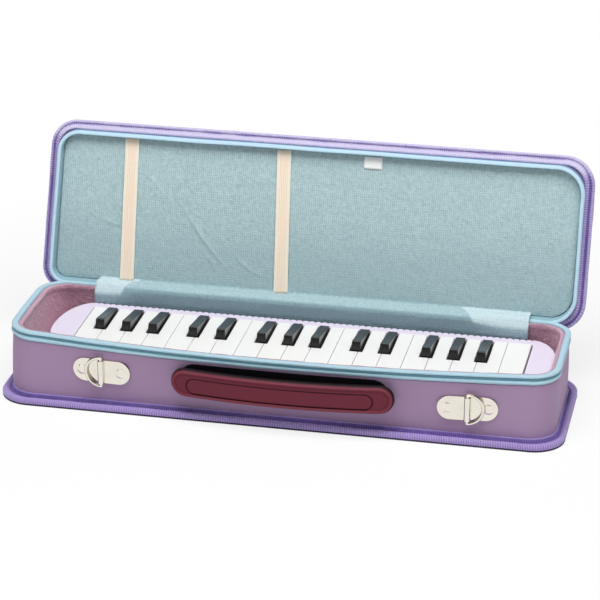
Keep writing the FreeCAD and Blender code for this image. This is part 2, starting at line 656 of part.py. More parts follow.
def make_lid():
    """Padded lid with its binding, zip tape and lining; the hinge line is its origin."""
    lid_slab("lid_panel",
             ("Dim.lid_length - 2 * Dim.lid_border", "Dim.lid_depth - 2 * Dim.lid_border",
              "Dim.lid_corner - Dim.lid_border", "Dim.lid_overhang - Dim.lid_border"),
             "Dim.skirt_height", "Dim.lid_thickness")
    lid_slab("lid_binding",
             ("Dim.lid_length", "Dim.lid_depth", "Dim.lid_corner", "Dim.lid_overhang"),
             "Dim.skirt_height", "Dim.lid_thickness",
             hole=("Dim.lid_length - 2 * Dim.lid_border + 2 * Dim.seam_gap",
                   "Dim.lid_depth - 2 * Dim.lid_border + 2 * Dim.seam_gap",
                   "Dim.lid_corner - Dim.lid_border + Dim.seam_gap",
                   "Dim.lid_overhang - Dim.lid_border + Dim.seam_gap"))
    inner_length = "Dim.skirt_length - 2 * Dim.skirt_width"
    inner_depth = "Dim.skirt_depth - 2 * Dim.skirt_width"
    inner_corner = "Dim.skirt_corner - Dim.skirt_width"
    lid_slab("lid_zip_tape",
             ("Dim.skirt_length", "Dim.skirt_depth", "Dim.skirt_corner", "0"),
             "0", "Dim.skirt_height - Dim.seam_gap",
             hole=(inner_length, inner_depth, inner_corner, "-Dim.skirt_width"))
    lid_slab("lid_lining",
             (f"{inner_length} - 2 * Dim.seam_gap", f"{inner_depth} - 2 * Dim.seam_gap",
              f"{inner_corner} - Dim.seam_gap", "-Dim.skirt_width - Dim.seam_gap"),
             "Dim.skirt_height - Dim.seam_gap - Dim.lid_lining_thickness",
             "Dim.lid_lining_thickness")


def make_elastic_bands():
    """Two elastic bands across the lid; each leans a little, as it was sewn."""
    level = ("Dim.skirt_height - Dim.seam_gap - Dim.lid_lining_thickness"
             " - Dim.band_lift - Dim.band_thickness")
    span = "Dim.skirt_depth - 2 * Dim.skirt_width - 2 * Dim.band_inset"
    bands = []
    for name in ("left_band", "middle_band"):
        lean = f"Dim.{name}_lean"
        band = doc.addObject("Part::Box", name)
        band.setExpression("Length", "Dim.band_width")
        band.setExpression("Width", f"({span}) * cos({lean})")
        band.setExpression("Height", "Dim.band_thickness")
        band.Placement = FreeCAD.Placement(V(0, 0, 0), FreeCAD.Rotation(V(0, 0, 1), -value(lean)))
        start = f"-Dim.skirt_width - Dim.band_inset - ({span}) * cos({lean})"
        left = f"Dim.{name}_x - Dim.band_width / 2 - ({span}) * sin({lean})"
        bands.append(place(band, left, start, level))
    keep(in_lid(group("elastic_bands", bands)), "elastic_bands")


# ---------------------------------------------------------------- hinge fabric

def hinge_strip(name, corners):
    """A strip of fabric along the hinge line with one section all the way."""
    strip = extruded_polygon(name, "YZ_Plane", corners, "Dim.hinge_right - Dim.hinge_left")
    keep(place(strip, x="Dim.hinge_left"), name)


def make_hinge_fabric():
    """The flap inside the hinge and the gusset outside it."""
    lean = "(Dim.lid_angle - 90)"
    hinge_y = "(Dim.wall_depth / 2 + Dim.hinge_setback)"
    hinge_z = "(Dim.rim_top + Dim.rim_gap)"

    def lid_point(along, out):
        """A point of the open lid: along it from the hinge, and out of its inner side."""
        y = f"{hinge_y} + ({along}) * sin({lean}) - ({out}) * cos({lean})"
        z = f"{hinge_z} + ({along}) * cos({lean}) + ({out}) * sin({lean})"
        return y, z

    inner = "Dim.wall_depth / 2 - Dim.tray_skin"
    hang_y = f"{inner} - Dim.flap_gap - Dim.flap_thickness"
    sheet_y = "Dim.flap_thickness"
    clear = "Dim.seam_gap + Dim.flap_gap"
    hang_z = f"Dim.rim_top + {clear}"
    foot = "Dim.rim_top - Dim.flap_drop"
    hinge_strip("hinge_flap", [
        (hang_y, foot),
        (f"{hang_y} + {sheet_y}", foot),
        (f"{hang_y} + {sheet_y}", hang_z),
        lid_point("Dim.flap_gap", "Dim.flap_gap"),
        lid_point("Dim.skirt_width", "Dim.flap_gap / 2"),
        lid_point("Dim.skirt_width + 2 * Dim.flap_thickness", "-Dim.skirt_height / 3"),
        lid_point("Dim.skirt_width + 4 * Dim.flap_thickness", "-Dim.skirt_height / 3"),
        lid_point("Dim.skirt_width + Dim.flap_thickness", "Dim.flap_gap / 2 + Dim.flap_thickness"),
        lid_point("Dim.flap_gap", "Dim.flap_gap + Dim.flap_thickness * 1.5"),
        (hang_y, f"{hang_z} + Dim.flap_thickness"),
    ])

    wall = "Dim.wall_depth / 2 + Dim.seam_gap"
    under = "Dim.seam_gap"
    hinge_strip("hinge_gusset", [
        (wall, "Dim.gusset_foot"),
        (f"{wall} + Dim.flap_thickness", "Dim.gusset_foot"),
        (f"{wall} + Dim.flap_thickness", "Dim.rim_top - 3 * Dim.flap_thickness"),
        lid_point(f"-{under} - Dim.flap_thickness", "-Dim.skirt_height + Dim.seam_gap"),
        lid_point(f"-{under}", "-Dim.skirt_height + Dim.seam_gap"),
        (wall, "Dim.rim_top - Dim.flap_thickness"),
    ])


# ---------------------------------------------------------------- handle

def grip_back(x_from_middle):
    """Y of the grip's back face."""
    end = front_of_wall(size("handle_x"), size("handle_z")) - size("handle_standoff")
    half = size("handle_length") / 2
    return end - size("handle_bow") * (1 - (x_from_middle / half) ** 2)


def make_handle():
    """Moulded grip with a stadium outline, bowed out, and the pockets of its studs."""
    half = size("handle_length") / 2
    tall = size("handle_height")
    thick = size("handle_thickness")
    low = size("handle_z") - tall / 2
    band = []
    for offset in (0, -thick):
        ends = [V(side * half, grip_back(side * half) + offset, low) for side in (-1, 1)]
        band.append((ends[0], V(0, grip_back(0) + offset, low), ends[1]))
    back, front = band
    outline = Part.Wire([Part.Arc(*back).toShape(), Part.LineSegment(back[2], front[2]).toShape(),
                         Part.Arc(*front[::-1]).toShape(),
                         Part.LineSegment(front[0], back[0]).toShape()])
    plan = Part.Face(outline).extrude(V(0, 0, tall))
    end = tall / 2
    depth = 4 * (thick + size("handle_bow"))
    start_y = front[0].y - depth / 2
    middle = Part.makeBox(2 * (half - end), depth, tall, V(end - half, start_y, low))
    caps = [Part.makeCylinder(end, depth, V(side * (half - end), start_y, low + end), V(0, 1, 0))
            for side in (-1, 1)]
    grip = plan.common(middle.fuse(caps))
    rims = [edge for edge in grip.Edges if edge.Length > tall]
    grip = grip.makeFillet(size("grip_round"), rims)
    for x in stud_places():
        grip = grip.cut(stud_pocket(x - size("handle_x")))
    keep(place(solid("handle_grip", grip), x="Dim.handle_x"), "handle_grip")


def stud_pocket(x_from_middle):
    """Neck and chamber in the grip's back, in which a stud's head slides."""
    lip = size("pocket_lip")
    play = size("stud_play")
    back = grip_back(x_from_middle)
    chamber = size("stud_head_thickness") + size("handle_travel") + 2 * play
    z = size("handle_z")
    neck = Part.makeCylinder(size("stud_radius") + play, 3 * lip,
                             V(x_from_middle, back + 2 * lip, z), V(0, -1, 0))
    room = Part.makeCylinder(size("stud_head") + play, chamber,
                             V(x_from_middle, back - lip, z), V(0, -1, 0))
    return neck.fuse(room)


def make_handle_studs():
    """Two headed studs with washers, riveted through the front wall and its lining."""
    lip = size("pocket_lip")
    z = size("handle_z")
    studs = []
    for x in stud_places():
        wall = front_of_wall(x, z)
        inside = wall + size("tray_skin") - size("seam_gap") + size("washer_gap")
        back = grip_back(x - size("handle_x"))
        chamber = size("stud_head_thickness") + size("handle_travel") + 2 * size("stud_play")
        tip = back - lip - chamber + size("stud_play")
        length = inside + size("stud_washer_thickness") - tip
        shank = Part.makeCylinder(size("stud_radius"), length, V(x, tip, z), V(0, 1, 0))
        head = Part.makeCylinder(size("stud_head"), size("stud_head_thickness"),
                                 V(x, tip, z), V(0, 1, 0))
        washer = Part.makeCylinder(size("stud_washer"), size("stud_washer_thickness"),
                                   V(x, inside, z), V(0, 1, 0))
        studs.append(shank.fuse([head, washer]))
    keep(solid("handle_studs", Part.makeCompound(studs)), "handle_studs")


# ---------------------------------------------------------------- strap anchors

def ring_bar_out():
    """Height of a D-ring's bar above the wall's cover."""
    bore = size("ring_wire") + size("ring_play")
    return size("anchor_gap") + size("anchor_sheet") + size("barrel_wall") / 2 + bore


def anchor_plate(side):
    """Stadium plate whose half towards the handle is folded over the ring's bar."""
    long = size("anchor_length")
    tall = size("anchor_height")
    leaf = size("anchor_sheet")
    gap = size("anchor_gap")
    end = tall / 2
    middle = Part.makeBox(long - tall, 2 * leaf, tall, V(end - long / 2, -gap - 2 * leaf, -end))
    caps = [Part.makeCylinder(end, 2 * leaf, V(x, -gap - 2 * leaf, 0), V(0, 1, 0))
            for x in (end - long / 2, long / 2 - end)]
    stadium = middle.fuse(caps)
    under = Part.makeBox(long, leaf, tall, V(-long / 2, -gap - leaf, -end))
    inner_half = V(0 if side > 0 else -long / 2, -gap - 2 * leaf, -end)
    over = Part.makeBox(long / 2, leaf, tall, inner_half)
    plate = stadium.common(under.fuse(over))
    bore = size("ring_wire") + size("ring_play")
    foot = V(0, -ring_bar_out(), -end)
    barrel = Part.makeCylinder(bore + size("barrel_wall"), tall, foot, V(0, 0, 1))
    skin = Part.makeBox(long, gap + tall, tall, V(-long / 2, -gap, -end))
    barrel = barrel.cut(skin)
    passage = Part.makeCylinder(bore, tall, foot, V(0, 0, 1))
    plate = plate.fuse(barrel).cut(passage)
    for x in (-size("rivet_x"), size("rivet_x")):
        hole = size("rivet_shank") + size("rivet_play")
        plate = plate.cut(Part.makeCylinder(hole, 6 * leaf, V(x, -gap - 3 * leaf, 0), V(0, 1, 0)))
    return plate


def anchor_rivet(x, leaves):
    """Domed rivet through the plate and the wall."""
    top = -size("anchor_gap") - leaves * size("anchor_sheet") - size("rivet_play")
    rise = size("rivet_rise")
    radius = size("rivet_radius")
    ball = (radius ** 2 + rise ** 2) / (2 * rise)
    dome = Part.makeSphere(ball, V(x, top + ball - rise, 0))
    dome = dome.common(Part.makeCylinder(radius, rise, V(x, top - rise, 0), V(0, 1, 0)))
    inside = size("tray_skin") + size("burr_gap")
    length = inside + rise / 2 - top
    shank = Part.makeCylinder(size("rivet_shank"), length, V(x, top, 0), V(0, 1, 0))
    burr = Part.makeCylinder(radius, rise / 2, V(x, inside, 0), V(0, 1, 0))
    return dome.fuse([shank, burr])


def make_anchors():
    """Two anchor plates with their rivets, one each side of the handle."""
    pieces = []
    for anchor, side in (("anchor_left", 1), ("anchor_right", -1)):
        frame = on_wall(size(f"{anchor}_x"), size(f"{anchor}_z"))
        rivets = [anchor_rivet(side * size("rivet_x"), 2), anchor_rivet(-side * size("rivet_x"), 1)]
        for piece in [anchor_plate(side)] + rivets:
            piece.Placement = frame.multiply(piece.Placement)
            pieces.append(piece)
    keep(solid("anchor_plates", Part.makeCompound(pieces)), "anchor_plates")


def make_d_rings():
    """Each D-ring: a straight bar in the barrel and a half-round bow lying flat."""
    for name, anchor, outward in (("d_ring_left", "anchor_left", 180),
                                  ("d_ring_right", "anchor_right", 0)):
        bow = doc.addObject("Part::Torus", f"{name}_bow")
        bow.setExpression("Radius1", "Dim.ring_radius")
        bow.setExpression("Radius2", "Dim.ring_wire")
        bow.Angle3 = 180
        bow.Placement = FreeCAD.Placement(
            V(0, 0, 0), FreeCAD.Rotation(V(0, 0, 1), outward)
            .multiply(FreeCAD.Rotation(V(1, 0, 0), 90))
            .multiply(FreeCAD.Rotation(V(0, 0, 1), -90)))
        bar = rod(f"{name}_bar", ("0", "0", "-Dim.ring_radius"), "Dim.ring_wire",
                  "2 * Dim.ring_radius")
        knees = []
        for end in (-1, 1):
            knee = doc.addObject("Part::Sphere", f"{name}_knee")
            knee.setExpression("Radius", "Dim.ring_wire")
            knees.append(place(knee, z=f"{end} * Dim.ring_radius"))
        ring = fused(name, [bow, bar] + knees)
        frame = on_wall(size(f"{anchor}_x"), size(f"{anchor}_z"))
        ring.Placement = frame.multiply(FreeCAD.Placement(V(0, -ring_bar_out(), 0),
                                                          FreeCAD.Rotation()))
        keep(ring, name)


# ---------------------------------------------------------------- zip slider

def make_zip_slider():
    """Slider parked at the hinge end of the chain, its link, and the hanging pull tab."""
    back = "Dim.wall_depth / 2 + Dim.slider_gap"
    face = f"{back} + Dim.slider_thickness"
    pin_y = f"{face} + Dim.link_thickness / 2"
    block = box("slider_block", ("Dim.slider_x - Dim.slider_length / 2", back, "Dim.slider_z"),
                ("Dim.slider_length", "Dim.slider_thickness", "Dim.slider_height"))
    link = box("slider_link", ("Dim.slider_x - Dim.link_width / 2", face, "Dim.pull_z"),
               ("Dim.link_width", "Dim.link_thickness", "Dim.link_length"))
    eye = rod("slider_eye", ("Dim.slider_x - Dim.link_width / 2", pin_y, "Dim.pull_z"),
              "Dim.pull_eye", "Dim.link_width", ALONG_X)
    bore = rod("slider_bore", ("Dim.slider_x - Dim.link_width", pin_y, "Dim.pull_z"),
               "Dim.pull_pin + Dim.pull_play", "2 * Dim.link_width", ALONG_X)
    keep(cut("zip_slider", fused("slider_solid", [block, link, eye]), bore), "zip_slider")

    ear_gap = "(Dim.link_width + 2 * Dim.ear_play)"
    pieces = []
    for left in ("Dim.slider_x - Dim.pull_width / 2", f"Dim.slider_x + {ear_gap} / 2"):
        pieces.append(box("pull_ear", (left, f"{pin_y} - Dim.pull_thickness / 2",
                                       "Dim.pull_z - Dim.pull_eye * 2"),
                          (f"(Dim.pull_width - {ear_gap}) / 2", "Dim.pull_thickness",
                           "Dim.pull_eye * 3")))
    pieces.append(rod("pull_pin", ("Dim.slider_x - Dim.pull_width / 2", pin_y, "Dim.pull_z"),
                      "Dim.pull_pin", "Dim.pull_width", ALONG_X))
    pieces.append(box("pull_tab", ("Dim.slider_x - Dim.pull_width / 2",
                                   f"{pin_y} - Dim.pull_thickness / 2",
                                   "Dim.pull_z - Dim.pull_length"),
                      ("Dim.pull_width", "Dim.pull_thickness",
                       "Dim.pull_length - Dim.pull_eye - 2 * Dim.ear_play")))
    keep(fused("zip_pull", pieces), "zip_pull")


# ---------------------------------------------------------------- melodica covers

def cover_outline(inset, height):
    """Plan of the melodica: straight sides and half-elliptical ends."""
    straight = size("body_length") / 2 - size("cap_bulge")
    half_y = size("body_depth") / 2 - inset
    bulge = size("cap_bulge") - inset
    edges = []
    for side in (1, -1):
        centre = V(side * straight, 0, height)
        rear = centre + V(0, half_y, 0)
        tip = centre + V(side * bulge, 0, 0)
        edges.append(Part.ArcOfEllipse(Part.Ellipse(rear, tip, centre), 0, math.pi).toShape())
        corners = [V(end * straight, side * half_y, height) for end in (-1, 1)]
        edges.append(Part.LineSegment(*corners).toShape())
    return Part.Wire(Part.sortEdges(edges)[0])


def cover_block(inset, low, high):
    """A solid that fills the melodica's plan between two heights."""
    return Part.Face(cover_outline(inset, low)).extrude(V(0, 0, high - low))


def cover_bosses():
    """Plan positions of the cover screws."""
    front = [V(side * size(alias), size("front_boss_y"), 0)
             for side in (-1, 1) for alias in ("front_boss_inner", "front_boss_outer")]
    ends = [V(sx * size("end_boss_x"), sy * size("end_boss_y"), 0)
            for sx in (-1, 1) for sy in (-1, 1)]
    return front, ends


def keys_reach():
    """Half the length of the row of keys."""
    return len(WHITE_NOTES) / 2 * size("white_pitch")


def make_bottom_cover():
    """Shallow lower cover with screw posts and the two end holes."""
    wall = size("cover_wall")
    top = size("parting")
    shape = cover_block(0, 0, top).cut(cover_block(wall, wall, top))
    front, ends = cover_bosses()
    room = cover_block(wall / 2, 0, top)
    posts = [Part.makeCylinder(size("boss_radius"), top - wall, at + V(0, 0, wall))
             for at in front + ends]
    shape = shape.fuse([post.common(room) for post in posts])
    for at in front + ends:
        head = size("screw_head_thickness") + size("parting_gap")
        shape = shape.cut(Part.makeCylinder(size("screw_head") + size("socket_play"), head, at))
        shape = shape.cut(Part.makeCylinder(size("screw_shank") + size("screw_play"), top, at))
    reach = 3 * wall
    end = size("body_length") / 2
    level = size("socket_z")
    socket = size("socket_radius") + size("socket_play")
    button = size("button_radius") + size("button_play")
    shape = shape.cut(Part.makeCylinder(socket, 2 * reach, V(-end - reach, 0, level), V(1, 0, 0)))
    shape = shape.cut(Part.makeCylinder(button, 2 * reach, V(end - reach, 0, level), V(1, 0, 0)))
    keep(in_melodica(solid("bottom_cover", shape)), "bottom_cover")


def flutes():
    """Half-round flutes that stand in a row along the rear rail."""
    pitch = size("flute_pitch")
    radius = size("flute_radius")
    count = int(2 * keys_reach() / pitch)
    low = size("parting") + size("parting_gap")
    rail = size("body_depth") / 2 - radius
    first = -(count - 1) / 2 * pitch
    return [Part.makeCylinder(radius, size("cover_top") - low, V(first + index * pitch, rail, low))
            for index in range(count)]


def make_top_cover():
    """Upper cover: end cheeks, low front rail, fluted rear rail, open key well."""
    wall = size("cover_wall")
    low = size("parting") + size("parting_gap")
    top = size("cover_top")
    well = keys_reach() + size("well_gap")
    radius = size("flute_radius")
    shape = cover_block(0, low, top)
    straight = size("body_length") / 2 - size("cap_bulge")
    back = size("body_depth") / 2 - radius
    shape = shape.cut(Part.makeBox(2 * straight, 2 * radius, top, V(-straight, back, 0)))
    inner = cover_block(wall, low, top - wall)
    inner = inner.cut(Part.makeBox(2 * straight, 3 * radius, top, V(-straight, back - wall, 0)))
    shape = shape.cut(inner)
    rear = size("key_rear") + size("rail_gap")
    front = -size("body_depth")
    rail = size("front_rail")
    shape = shape.cut(Part.makeBox(2 * well, rear - front, top, V(-well, front, rail)))
    behind_rail = V(-well, wall - size("body_depth") / 2, rail - wall)
    shape = shape.cut(Part.makeBox(2 * well, rear - behind_rail.y, top, behind_rail))
    shape = shape.fuse(flutes())
    front_bosses, end_bosses = cover_bosses()
    room = cover_block(wall / 2, low, top)
    bosses = [Part.makeCylinder(size("boss_radius"), size("front_rail") - 2 * wall - low,
                                at + V(0, 0, low)) for at in front_bosses]
    bosses += [Part.makeCylinder(size("boss_radius"), top - wall / 2 - low, at + V(0, 0, low))
               for at in end_bosses]
    shape = shape.fuse([boss.common(room) for boss in bosses])
    for at in front_bosses + end_bosses:
        pilot = size("screw_shank") + size("screw_play")
        depth = size("screw_head_thickness") + size("screw_length") + 4 * size("parting_gap")
        shape = shape.cut(Part.makeCylinder(pilot, depth, at))
    keep(in_melodica(solid("top_cover", shape)), "top_cover")


def make_cover_screws():
    """Screws that hold the covers together, driven in from below."""
    front, ends = cover_bosses()
    screws = []
    for at in front + ends:
        screw = turned("cover_screw", [
            ("0", "0"), ("Dim.screw_head", "0"),
            ("Dim.screw_head", "Dim.screw_head_thickness"),
            ("Dim.screw_shank", "Dim.screw_head_thickness"),
            ("Dim.screw_shank", "Dim.screw_head_thickness + Dim.screw_length"),
            ("0", "Dim.screw_head_thickness + Dim.screw_length")])
        screw.Placement.Base = at
        screws.append(screw)
    keep(in_melodica(group("cover_screws", screws)), "cover_screws")


# ---------------------------------------------------------------- wind chamber and reeds

def key_middles():
    """X of every key's lug, arm and air slot, left to right."""
    middles = []
    for index, (note, octave) in enumerate(WHITE_NOTES):
        low, high = tail_span(index)
        middles.append(value(f"(({low}) + ({high})) / 2"))
        if has_sharp(index):
            middles.append(value(sharp_middle(index)))
    return middles


def make_wind_chamber():
    """Open-topped box that takes the player's breath to the reeds."""
    length = "Dim.chamber_length"
    depth = "Dim.chamber_rear - Dim.chamber_front"
    height = "Dim.board_under - Dim.parting_gap - Dim.chamber_floor"
    outer = box("chamber_outer", (f"-{length} / 2", "Dim.chamber_front", "Dim.chamber_floor"),
                (length, depth, height))
    inner = box("chamber_inner",
                (f"Dim.chamber_wall - {length} / 2", "Dim.chamber_front + Dim.chamber_wall",
                 "Dim.chamber_floor + Dim.chamber_wall"),
                (f"{length} - 2 * Dim.chamber_wall", f"{depth} - 2 * Dim.chamber_wall", height))
    inlet = rod("chamber_inlet", (f"-{length} / 2 - Dim.chamber_wall", "0", "Dim.socket_z"),
                "Dim.socket_radius + Dim.socket_play", "3 * Dim.chamber_wall", ALONG_X)
    drain = rod("chamber_drain", (f"{length} / 2 - 2 * Dim.chamber_wall", "0", "Dim.socket_z"),
                "Dim.button_hole", "3 * Dim.chamber_wall", ALONG_X)
    tools = fused("chamber_tools", [inner, inlet, drain])
    keep(in_melodica(cut("wind_chamber", outer, tools)), "wind_chamber")


def make_valve_board():
    """Lid of the wind chamber: air slots, posts for the pivot rod, guide pins."""
    length = size("board_length")
    low = size("board_under")
    thick = size("board_thickness")
    front = size("board_front")
    rear = size("chamber_rear")
    top = low + thick
    board = Part.makeBox(length, rear - front, thick, V(-length / 2, front, low))
    pad_middle = size("arm_front") + size("arm_depth") / 2
    slots = [Part.makeBox(size("slot_width"), size("slot_length"), 3 * thick,
                          V(x - size("slot_width") / 2, pad_middle - size("slot_length") / 2,
                            low - thick)) for x in key_middles()]
    board = board.cut(slots)
    post = size("post_width")
    lug = size("lug_depth")
    pivot = size("pivot_z")
    end = length / 2 - post / 2
    places = [-end, end] + [(index + 1) * size("white_pitch") - keys_reach()
                            for index in range(len(WHITE_NOTES) - 1) if not has_sharp(index)]
    post_top = size("key_top") - size("key_height") - size("post_gap")
    posts = [Part.makeBox(post, lug, post_top - top,
                          V(x - post / 2, size("pivot_y") - lug / 2, top)) for x in places]
    pin = size("pin_width")
    pin_y = size("key_front") + size("key_wall") + pin
    pins = [Part.makeBox(pin, pin, size("pin_height"),
                         V((index + 0.5) * size("white_pitch") - keys_reach() - pin / 2,
                           pin_y, top)) for index in range(len(WHITE_NOTES))]
    board = board.fuse(posts + pins)
    hole = Part.makeCylinder(size("rod_radius") + size("rod_play") / 2, length + 2 * post,
                             V(-length / 2 - post, size("pivot_y"), pivot), V(1, 0, 0))
    keep(in_melodica(solid("valve_board", board.cut(hole))), "valve_board")


def make_reed_plate():
    """Brass plate under the valve board with a slot and a tongue for every note."""
    low = size("board_under") - size("plate_thickness") - size("parting_gap")
    margin = size("chamber_wall") + 3 * size("parting_gap")
    half = size("chamber_length") / 2 - margin
    front = size("plate_front")
    rear = size("chamber_rear") - margin
    plate = Part.makeBox(2 * half, rear - front, size("plate_thickness"), V(-half, front, low))
    middles = key_middles()
    width = size("reed_width")
    play = size("reed_play")
    root = size("reed_root")
    slots = []
    tongues = []
    for index, x in enumerate(middles):
        share = index / (len(middles) - 1)
        length = size("reed_long") + share * (size("reed_short") - size("reed_long"))
        slots.append(Part.makeBox(width + 2 * play, length, 3 * size("plate_thickness"),
                                  V(x - width / 2 - play, root - length,
                                    low - size("plate_thickness"))))
        tongues.append(Part.makeBox(width, length, size("reed_thickness"),
                                    V(x - width / 2, root - length + width,
                                      low - size("reed_thickness"))))
    pieces = [plate.cut(slots)] + tongues
    keep(in_melodica(solid("reed_plate", Part.makeCompound(pieces))), "reed_plate")


def make_mouthpiece_socket():
    """Flanged tube at the bass end that takes a mouthpiece or a hose."""
    inner_end = "Dim.body_length / 2 - Dim.chamber_length / 2"
    flange = "Dim.socket_flange_thickness"
    socket = turned("mouthpiece_tube", [
        ("Dim.socket_bore", "0"), ("Dim.socket_flange", "0"), ("Dim.socket_flange", flange),
        ("Dim.socket_radius", flange), ("Dim.socket_radius", f"{flange} + {inner_end}"),
        ("Dim.socket_bore", f"{flange} + {inner_end}")])
    socket.Placement = FreeCAD.Placement(V(0, 0, 0), FreeCAD.Rotation(*ALONG_X))
    start = f"-Dim.body_length / 2 - {flange} - Dim.parting_gap"
    place(socket, start, "0", "Dim.socket_z")
    keep(in_melodica(group("mouthpiece_socket_set", [socket])), "mouthpiece_socket")


def make_drain_button():
    """Button at the treble end: a cap, a stem, and a disc that shuts the drain hole."""
    disc = "Dim.button_valve_thickness"
    inner = "Dim.chamber_length / 2 - Dim.chamber_wall"
    start = f"{inner} - {disc} - Dim.parting_gap"
    total = f"(Dim.body_length / 2 - ({start}))"
    cap = f"{total} - Dim.button_cap"
    button = turned("drain_plunger", [
        ("0", "0"), ("Dim.button_valve", "0"), ("Dim.button_valve", disc),
        ("Dim.button_stem", disc), ("Dim.button_stem", cap), ("Dim.button_radius", cap),
        ("Dim.button_radius", total), ("0", total)])
    button.Placement = FreeCAD.Placement(V(0, 0, 0), FreeCAD.Rotation(*ALONG_X))
    place(button, start, "0", "Dim.socket_z")
    keep(in_melodica(group("drain_button_set", [button])), "drain_button")


# ---------------------------------------------------------------- keys

def has_sharp(index):
    """Whether a black key stands between this white key and the next."""
    return index + 1 < len(WHITE_NOTES) and WHITE_NOTES[index][0] in SHARP_SHIFT


def key_edge(index):
    """Boundary to the left of a white key."""
    return f"({index} - {len(WHITE_NOTES)} / 2) * Dim.white_pitch"


def sharp_middle(index):
    """Middle of the black key to the right of a white key."""
    return f"{key_edge(index + 1)} + {SHARP_SHIFT[WHITE_NOTES[index][0]]}"


def tail_span(index):
    """Left and right side of a white key's tail between its black neighbours."""
    notch = "(Dim.sharp_width / 2 + Dim.sharp_gap)"
    low = f"{key_edge(index)} + Dim.key_gap / 2"
    high = f"{key_edge(index + 1)} - Dim.key_gap / 2"
    if index > 0 and has_sharp(index - 1):
        low = f"{sharp_middle(index - 1)} + {notch}"
    if has_sharp(index):
        high = f"{sharp_middle(index)} - {notch}"
    return low, high


def key_under(name, middle, bottom):
    """Rib, pivot lug and valve arm under a key, and the felt pad under the arm."""
    rear = "Dim.pivot_y + Dim.lug_depth / 2"
    head = f"{bottom} + Dim.key_skin - Dim.lug_bottom"
    lug = box(f"{name}_lug", (f"{middle} - Dim.lug_width / 2", "Dim.pivot_y - Dim.lug_depth / 2",
                              "Dim.lug_bottom"), ("Dim.lug_width", "Dim.lug_depth", head))
    rib = box(f"{name}_rib", (f"{middle} - Dim.lug_width / 2", "Dim.rib_front",
                              "Dim.key_top - Dim.key_height"),
              ("Dim.lug_width", f"{rear} - Dim.rib_front",
               f"{bottom} + Dim.key_skin / 2 - Dim.key_top + Dim.key_height"))
    pad_top = "Dim.board_under + Dim.board_thickness + Dim.pad_gap + Dim.pad_thickness"
    arm = box(f"{name}_arm", (f"{middle} - Dim.arm_width / 2", "Dim.arm_front", pad_top),
              ("Dim.arm_width", "Dim.arm_depth", f"{bottom} + Dim.key_skin / 2 - ({pad_top})"))
    pad = box(f"{name}_pad", (f"{middle} - Dim.pad_width / 2",
                              "Dim.arm_front + (Dim.arm_depth - Dim.pad_depth) / 2",
                              f"{pad_top} - Dim.pad_thickness"),
              ("Dim.pad_width", "Dim.pad_depth", "Dim.pad_thickness"))
    return [lug, rib, arm], pad


def rounded_top(name, base, level):
    """The base with every edge at the given height rounded."""
    base.recompute(True)
    item = doc.addObject("Part::Fillet", name)
    item.Base = base
    radius = size("key_round")
    item.Edges = [(number, radius, radius) for number, edge in enumerate(base.Shape.Edges, start=1)
                  if all(abs(vertex.Z - level) < 0.01 for vertex in edge.Vertexes)]
    return item


def finish_key(name, cap, middle, bottom):
    """Add the works under a key's cap, bore the pivot, and set it in the melodica."""
    under, pad = key_under(name, middle, bottom)
    body = fused(f"{name}_body", [cap] + under)
    bore = rod(f"{name}_bore", (f"{middle} - Dim.lug_width", "Dim.pivot_y", "Dim.pivot_z"),
               "Dim.rod_radius + Dim.rod_play", "2 * Dim.lug_width", ALONG_X)
    keep(in_melodica(group(name, [cut(f"{name}_bored", body, bore), pad])), name)


def make_white_key(index):
    """Hollow moulded key: a full-width head and a tail between the black keys."""
    note, octave = WHITE_NOTES[index]
    name = f"white_key_{note}{octave}"
    left = f"{key_edge(index)} + Dim.key_gap / 2"
    width = "Dim.white_pitch - Dim.key_gap"
    low, high = tail_span(index)
    rear = "Dim.key_rear"
    neck = "Dim.sharp_front - Dim.sharp_gap"
    floor = "Dim.key_top - Dim.key_height"
    head = box(f"{name}_head", (left, "Dim.key_front", floor),
               (width, f"{neck} - Dim.key_front", "Dim.key_height"))
    tail = box(f"{name}_tail", (low, neck, floor),
               (f"{high} - ({low})", f"{rear} - ({neck})", "Dim.key_height"))
    shell = rounded_top(f"{name}_round", fused(f"{name}_outer", [head, tail]), size("key_top"))
    wall = "Dim.key_wall"
    hollow_head = box(f"{name}_hollow_head", (f"{left} + {wall}", f"Dim.key_front + {wall}", floor),
                      (f"{width} - 2 * {wall}", f"{neck} - Dim.key_front - 2 * {wall}",
                       "Dim.key_height - Dim.key_skin"))
    hollow_tail = box(f"{name}_hollow_tail", (f"{low} + {wall}", f"{neck} - 2 * {wall}", floor),
                      (f"{high} - ({low}) - 2 * {wall}", f"{rear} - ({neck}) + {wall}",
                       "Dim.key_height - Dim.key_skin"))
    hollow = fused(f"{name}_hollow", [hollow_head, hollow_tail])
    cap = cut(f"{name}_cap", shell, hollow)
    finish_key(name, cap, f"(({low}) + ({high})) / 2", "(Dim.key_top - Dim.key_skin)")


def wedge(name, spans, turn):
    """A tapered block: the low and high faces' limits as expressions."""
    item = doc.addObject("Part::Wedge", name)
    for side, expression in spans.items():
        item.setExpression(side, expression)
    item.Placement = FreeCAD.Placement(V(0, 0, 0), FreeCAD.Rotation(*turn))
    return item


